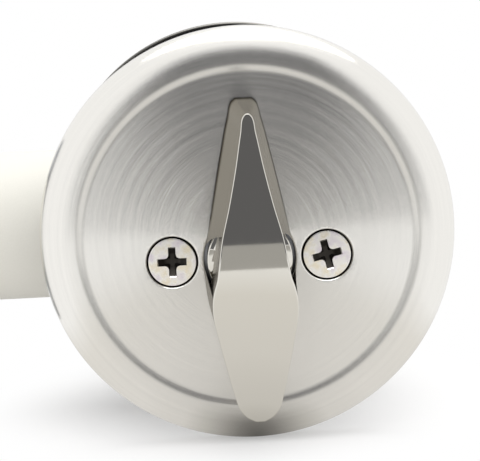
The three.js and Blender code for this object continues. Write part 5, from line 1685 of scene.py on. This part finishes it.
def keyway_outline():
    half, step, rise = KEYWAY_HALF_MM, KEYWAY_STEP_MM, KEYWAY_STEP_HEIGHT_MM
    low, bend = SPINDLE_Z_MM - PLUG_RADIUS_MM - CUT_PAST_MM, SPINDLE_Z_MM - rise
    top = SPINDLE_Z_MM + KEYWAY_TOP_MM
    return rounded([(-half - step, low), (half - step, low), (half - step, bend - rise, 0.25),
                    (half, bend - rise, 0.25), (half, top, 0.5), (-half, top, 0.5),
                    (-half, bend, 0.25), (-half - step, bend, 0.25)], 4)


def make_plug():
    low, high = span("cylinder_plug")
    rear, face = low[1] + DRIVE_LUG_HEIGHT_MM, high[1]
    rim, dish = PLUG_RADIUS_MM - PLUG_RIM_MM, face - PLUG_DISH_MM
    profile = rounded([(0, rear), (PLUG_RADIUS_MM, rear, 0.3), (PLUG_RADIUS_MM, face, 0.4),
                       (rim, face, 0.2), (rim - 0.3, dish, 0.1), (0, dish)])
    plug = turned("cylinder_plug_turned", profile, SPINDLE_MM, steps=128)
    lug = plate("drive_lug", lug_outline(-math.pi / 2), low[1], rear + JOIN_MM, "Y", 0.15)
    combine(plug, [lug], "UNION")
    bore, top = PIN_RADIUS_MM + RUNNING_GAP_MM, SPINDLE_Z_MM + PLUG_RADIUS_MM + CUT_PAST_MM
    chamber = [(0, SPINDLE_Z_MM), (bore, SPINDLE_Z_MM), (bore, top), (0, top)]
    combine(plug, [plate("keyway", keyway_outline(), rear + CAP_WALL_MM, face + CUT_PAST_MM, "Y", 0)])
    combine(plug, [turned("chamber", chamber, (0, pin_y(i), 0), "Z", 40) for i in range(PIN_COUNT)])
    smooth(plug)
    hand_in(plug, PLUG_BRASS, "plug_set", "brass", "cylinder_plug")


make_plug()


# Plug cap: a zinc-plated cup pressed on the plug's rear end, which keeps plug and tailpiece in
# their places.
CAP_FLOOR_MM = 1.2
CAP_MOUTH_MM = 3.67


def make_plug_cap():
    low, high = span("plug_cap")
    inner, outer, floor = high[0] - CAP_WALL_MM, high[0], low[1] + CAP_FLOOR_MM
    section = rounded([(inner, high[1], 0.2), (outer, high[1], 0.3), (outer, low[1], 0.6),
                       (CAP_MOUTH_MM, low[1], 0.2), (CAP_MOUTH_MM, floor, 0.2), (inner, floor, 0.3)])
    cap = turned("plug_cap_pressed", section, SPINDLE_MM, steps=128, closed=True)
    smooth(cap)
    hand_in(cap, ZINC_PLATE, "plug_set", "plain_steel", "plug_cap")


make_plug_cap()


# Key pins: brass, of unequal length, with pointed ends. They stand level with the plug's surface,
# as the right key holds them.
for key_pin in range(PIN_COUNT):
    pin_low, pin_high = span(f"key_pin_{key_pin + 1}")
    shape = rounded([(0, pin_low[2]), (0.6, pin_low[2], 0.15), (PIN_RADIUS_MM, pin_low[2] + 0.7, 0.15),
                     (PIN_RADIUS_MM, pin_high[2], 0.15), (0, pin_high[2])])
    pin = turned(f"key_pin_{key_pin + 1}_turned", shape, (0, pin_y(key_pin), 0), "Z", 40)
    smooth(pin)
    hand_in(pin, PLUG_BRASS, "plug_set", "brass", f"key_pin_{key_pin + 1}")


# Driver pins: five like steel pins above the key pins, turned with a waist so that a pick can't
# set them. Their lower ends stand where the plug ends, so that it can turn.
DRIVER_WAIST_MM = 0.35
DRIVER_LAND_MM = 0.9
DRIVER_TAPER_MM = 0.4


def make_driver_pins():
    low, high = span("driver_pin_1")
    radius, waist = PIN_RADIUS_MM, PIN_RADIUS_MM - DRIVER_WAIST_MM
    land, taper = DRIVER_LAND_MM, DRIVER_LAND_MM + DRIVER_TAPER_MM
    profile = rounded([(0, low[2]), (radius, low[2], 0.15), (radius, low[2] + land, 0.1),
                       (waist, low[2] + taper, 0.2), (waist, high[2] - taper, 0.2),
                       (radius, high[2] - land, 0.1), (radius, high[2], 0.15), (0, high[2])])
    pin = turned("driver_pins_turned", profile, (0, pin_y(0), 0), "Z", 40)
    smooth(pin)
    set_out(pin, SPRING_STEEL, PIN_COUNT, (0, -PIN_SPACING_MM, 0))
    hand_in(pin, SPRING_STEEL, "lock", "spring_steel",
            *[f"driver_pin_{i + 1}" for i in range(PIN_COUNT)])


make_driver_pins()


# Pin springs: fine phosphor-bronze wire wound in open turns with a closed turn at each end, one
# above each driver pin.
SPRING_WIRE_MM = 0.4
SPRING_COIL_MM = 1.02
SPRING_TURNS = 6
CLOSED_TURNS = 0.9
POINTS_PER_TURN = 20

# Phosphor-bronze wire: redder than the brass, and drawn smooth.
SPRING_BRONZE = grained_metal("phosphor_bronze_wire", "B98A5C", "A87A4E", (0.1667, 0.1667, 0.1667),
                              0.3, 0.1)


def spring_tree(material):
    tree, given, made = nodes_tree("coil_springs", ["Coil", "Wire", "Turns", "Bottom", "Rise", "Front",
                                                    "Step", "Count"])
    line = add(tree, "GeometryNodeCurvePrimitiveLine", {"Start": (0, 0, 0), "End": (0, 0, MM)})
    steps = add(tree, "ShaderNodeMath", {0: given.outputs["Turns"], 1: POINTS_PER_TURN},
                operation="MULTIPLY")
    dense = add(tree, "GeometryNodeResampleCurve", {"Curve": line.outputs[0],
                                                    "Count": steps.outputs[0]})
    along = add(tree, "GeometryNodeSplineParameter")
    wound_turns = add(tree, "ShaderNodeMath", {0: along.outputs["Factor"], 1: given.outputs["Turns"]},
                      operation="MULTIPLY")
    angle = add(tree, "ShaderNodeMath", {0: wound_turns.outputs[0], 1: 2 * math.pi},
                operation="MULTIPLY")
    cosine = add(tree, "ShaderNodeMath", {0: angle.outputs[0]}, operation="COSINE")
    sine = add(tree, "ShaderNodeMath", {0: angle.outputs[0]}, operation="SINE")
    side = add(tree, "ShaderNodeMath", {0: cosine.outputs[0], 1: given.outputs["Coil"]},
               operation="MULTIPLY")
    out = add(tree, "ShaderNodeMath", {0: sine.outputs[0], 1: given.outputs["Coil"]},
              operation="MULTIPLY")
    deep = add(tree, "ShaderNodeMath", {0: out.outputs[0], 1: given.outputs["Front"]},
               operation="ADD")
    closed = add(tree, "ShaderNodeMath", {0: CLOSED_TURNS, 1: given.outputs["Turns"]},
                 operation="DIVIDE")
    opened = add(tree, "ShaderNodeMath", {0: 1.0, 1: closed.outputs[0]}, operation="SUBTRACT")
    top = add(tree, "ShaderNodeMath", {0: given.outputs["Bottom"], 1: given.outputs["Rise"]},
              operation="ADD")
    height = add(tree, "ShaderNodeMapRange", {"Value": along.outputs["Factor"],
                                              "From Min": closed.outputs[0],
                                              "From Max": opened.outputs[0],
                                              "To Min": given.outputs["Bottom"],
                                              "To Max": top.outputs[0]},
                 interpolation_type="SMOOTHSTEP")
    spot = add(tree, "ShaderNodeCombineXYZ", {0: side.outputs[0], 1: deep.outputs[0],
                                              2: height.outputs["Result"]})
    wound = add(tree, "GeometryNodeSetPosition", {"Geometry": dense.outputs[0],
                                                  "Position": spot.outputs[0]})
    wire = add(tree, "GeometryNodeCurvePrimitiveCircle", {"Resolution": 8,
                                                          "Radius": given.outputs["Wire"]})
    coil = add(tree, "GeometryNodeCurveToMesh", {"Curve": wound.outputs[0],
                                                 "Profile Curve": wire.outputs[0],
                                                 "Fill Caps": True})
    offset = add(tree, "ShaderNodeCombineXYZ", {1: given.outputs["Step"]})
    row = add(tree, "GeometryNodeMeshLine", {"Count": given.outputs["Count"],
                                             "Offset": offset.outputs[0]})
    springs = add(tree, "GeometryNodeInstanceOnPoints", {"Points": row.outputs[0],
                                                         "Instance": coil.outputs[0]})
    real = add(tree, "GeometryNodeRealizeInstances", {0: springs.outputs[0]})
    finish = add(tree, "GeometryNodeSetMaterial", {"Geometry": real.outputs[0], "Material": material})
    tree.links.new(finish.outputs[0], made.inputs[0])
    return tree


def make_springs():
    low, high = span("pin_spring_1")
    wire = SPRING_WIRE_MM / 2
    springs = mesh_object("pin_springs_wound", [], [])
    grow(springs, spring_tree(SPRING_BRONZE), {
        "Coil": SPRING_COIL_MM * MM, "Wire": wire * MM, "Turns": float(SPRING_TURNS),
        "Bottom": (low[2] + wire) * MM, "Rise": (high[2] - low[2] - 2 * wire) * MM,
        "Front": pin_y(0) * MM, "Step": -PIN_SPACING_MM * MM, "Count": float(PIN_COUNT)})
    smooth(springs, 60)
    hand_in(springs, SPRING_BRONZE, "lock", "spring_steel",
            *[f"pin_spring_{i + 1}" for i in range(PIN_COUNT)])


make_springs()


# Chamber cover: a strip of sheet brass pressed into the groove over the pin chambers, which
# keeps the springs in.
def make_chamber_cover():
    low, high = span("pin_chamber_cover")
    outline = rounded([(low[0], low[1], 0.3), (high[0], low[1], 0.3), (high[0], high[1], 0.3),
                       (low[0], high[1], 0.3)])
    strip = plate("pin_chamber_cover_pressed", outline, low[2], high[2], "Z", 0.12)
    smooth(strip)
    hand_in(strip, PLUG_BRASS, "lock", "brass", "pin_chamber_cover")


make_chamber_cover()


# Screw posts: threaded steel sleeves set in the body's bosses. The mounting screws draw them, and
# with them the key side, up against the door.
POST_BORE_MM = 2.3
POST_RIB_MM = 0.12
POST_RIBS = 6


def make_screw_posts():
    low, high = span("screw_post_left")
    near, far, outer, bore = low[1], high[1], POST_RADIUS_MM, POST_BORE_MM
    knurl_end = far - POST_SEAT_MM
    corners = [(bore, near, 0.15), (outer - 0.1, near, 0.4), (outer - 0.1, knurl_end, 0.1)]
    for i in range(POST_RIBS):
        y = knurl_end + (far - knurl_end) * (i + 0.5) / POST_RIBS
        corners += [(outer - POST_RIB_MM, y - 0.3), (outer, y, 0.1), (outer - POST_RIB_MM, y + 0.3)]
    corners += [(outer - POST_RIB_MM, far, 0.2), (bore, far, 0.15)]
    post = turned("screw_posts_turned", rounded(corners), (-SCREW_X_MM, 0, SPINDLE_Z_MM), steps=64,
                  closed=True)
    smooth(post)
    set_out(post, ZINC_PLATE, 2, (2 * SCREW_X_MM, 0, 0))
    hand_in(post, ZINC_PLATE, "lock", "plain_steel", "screw_post_left", "screw_post_right")


make_screw_posts()
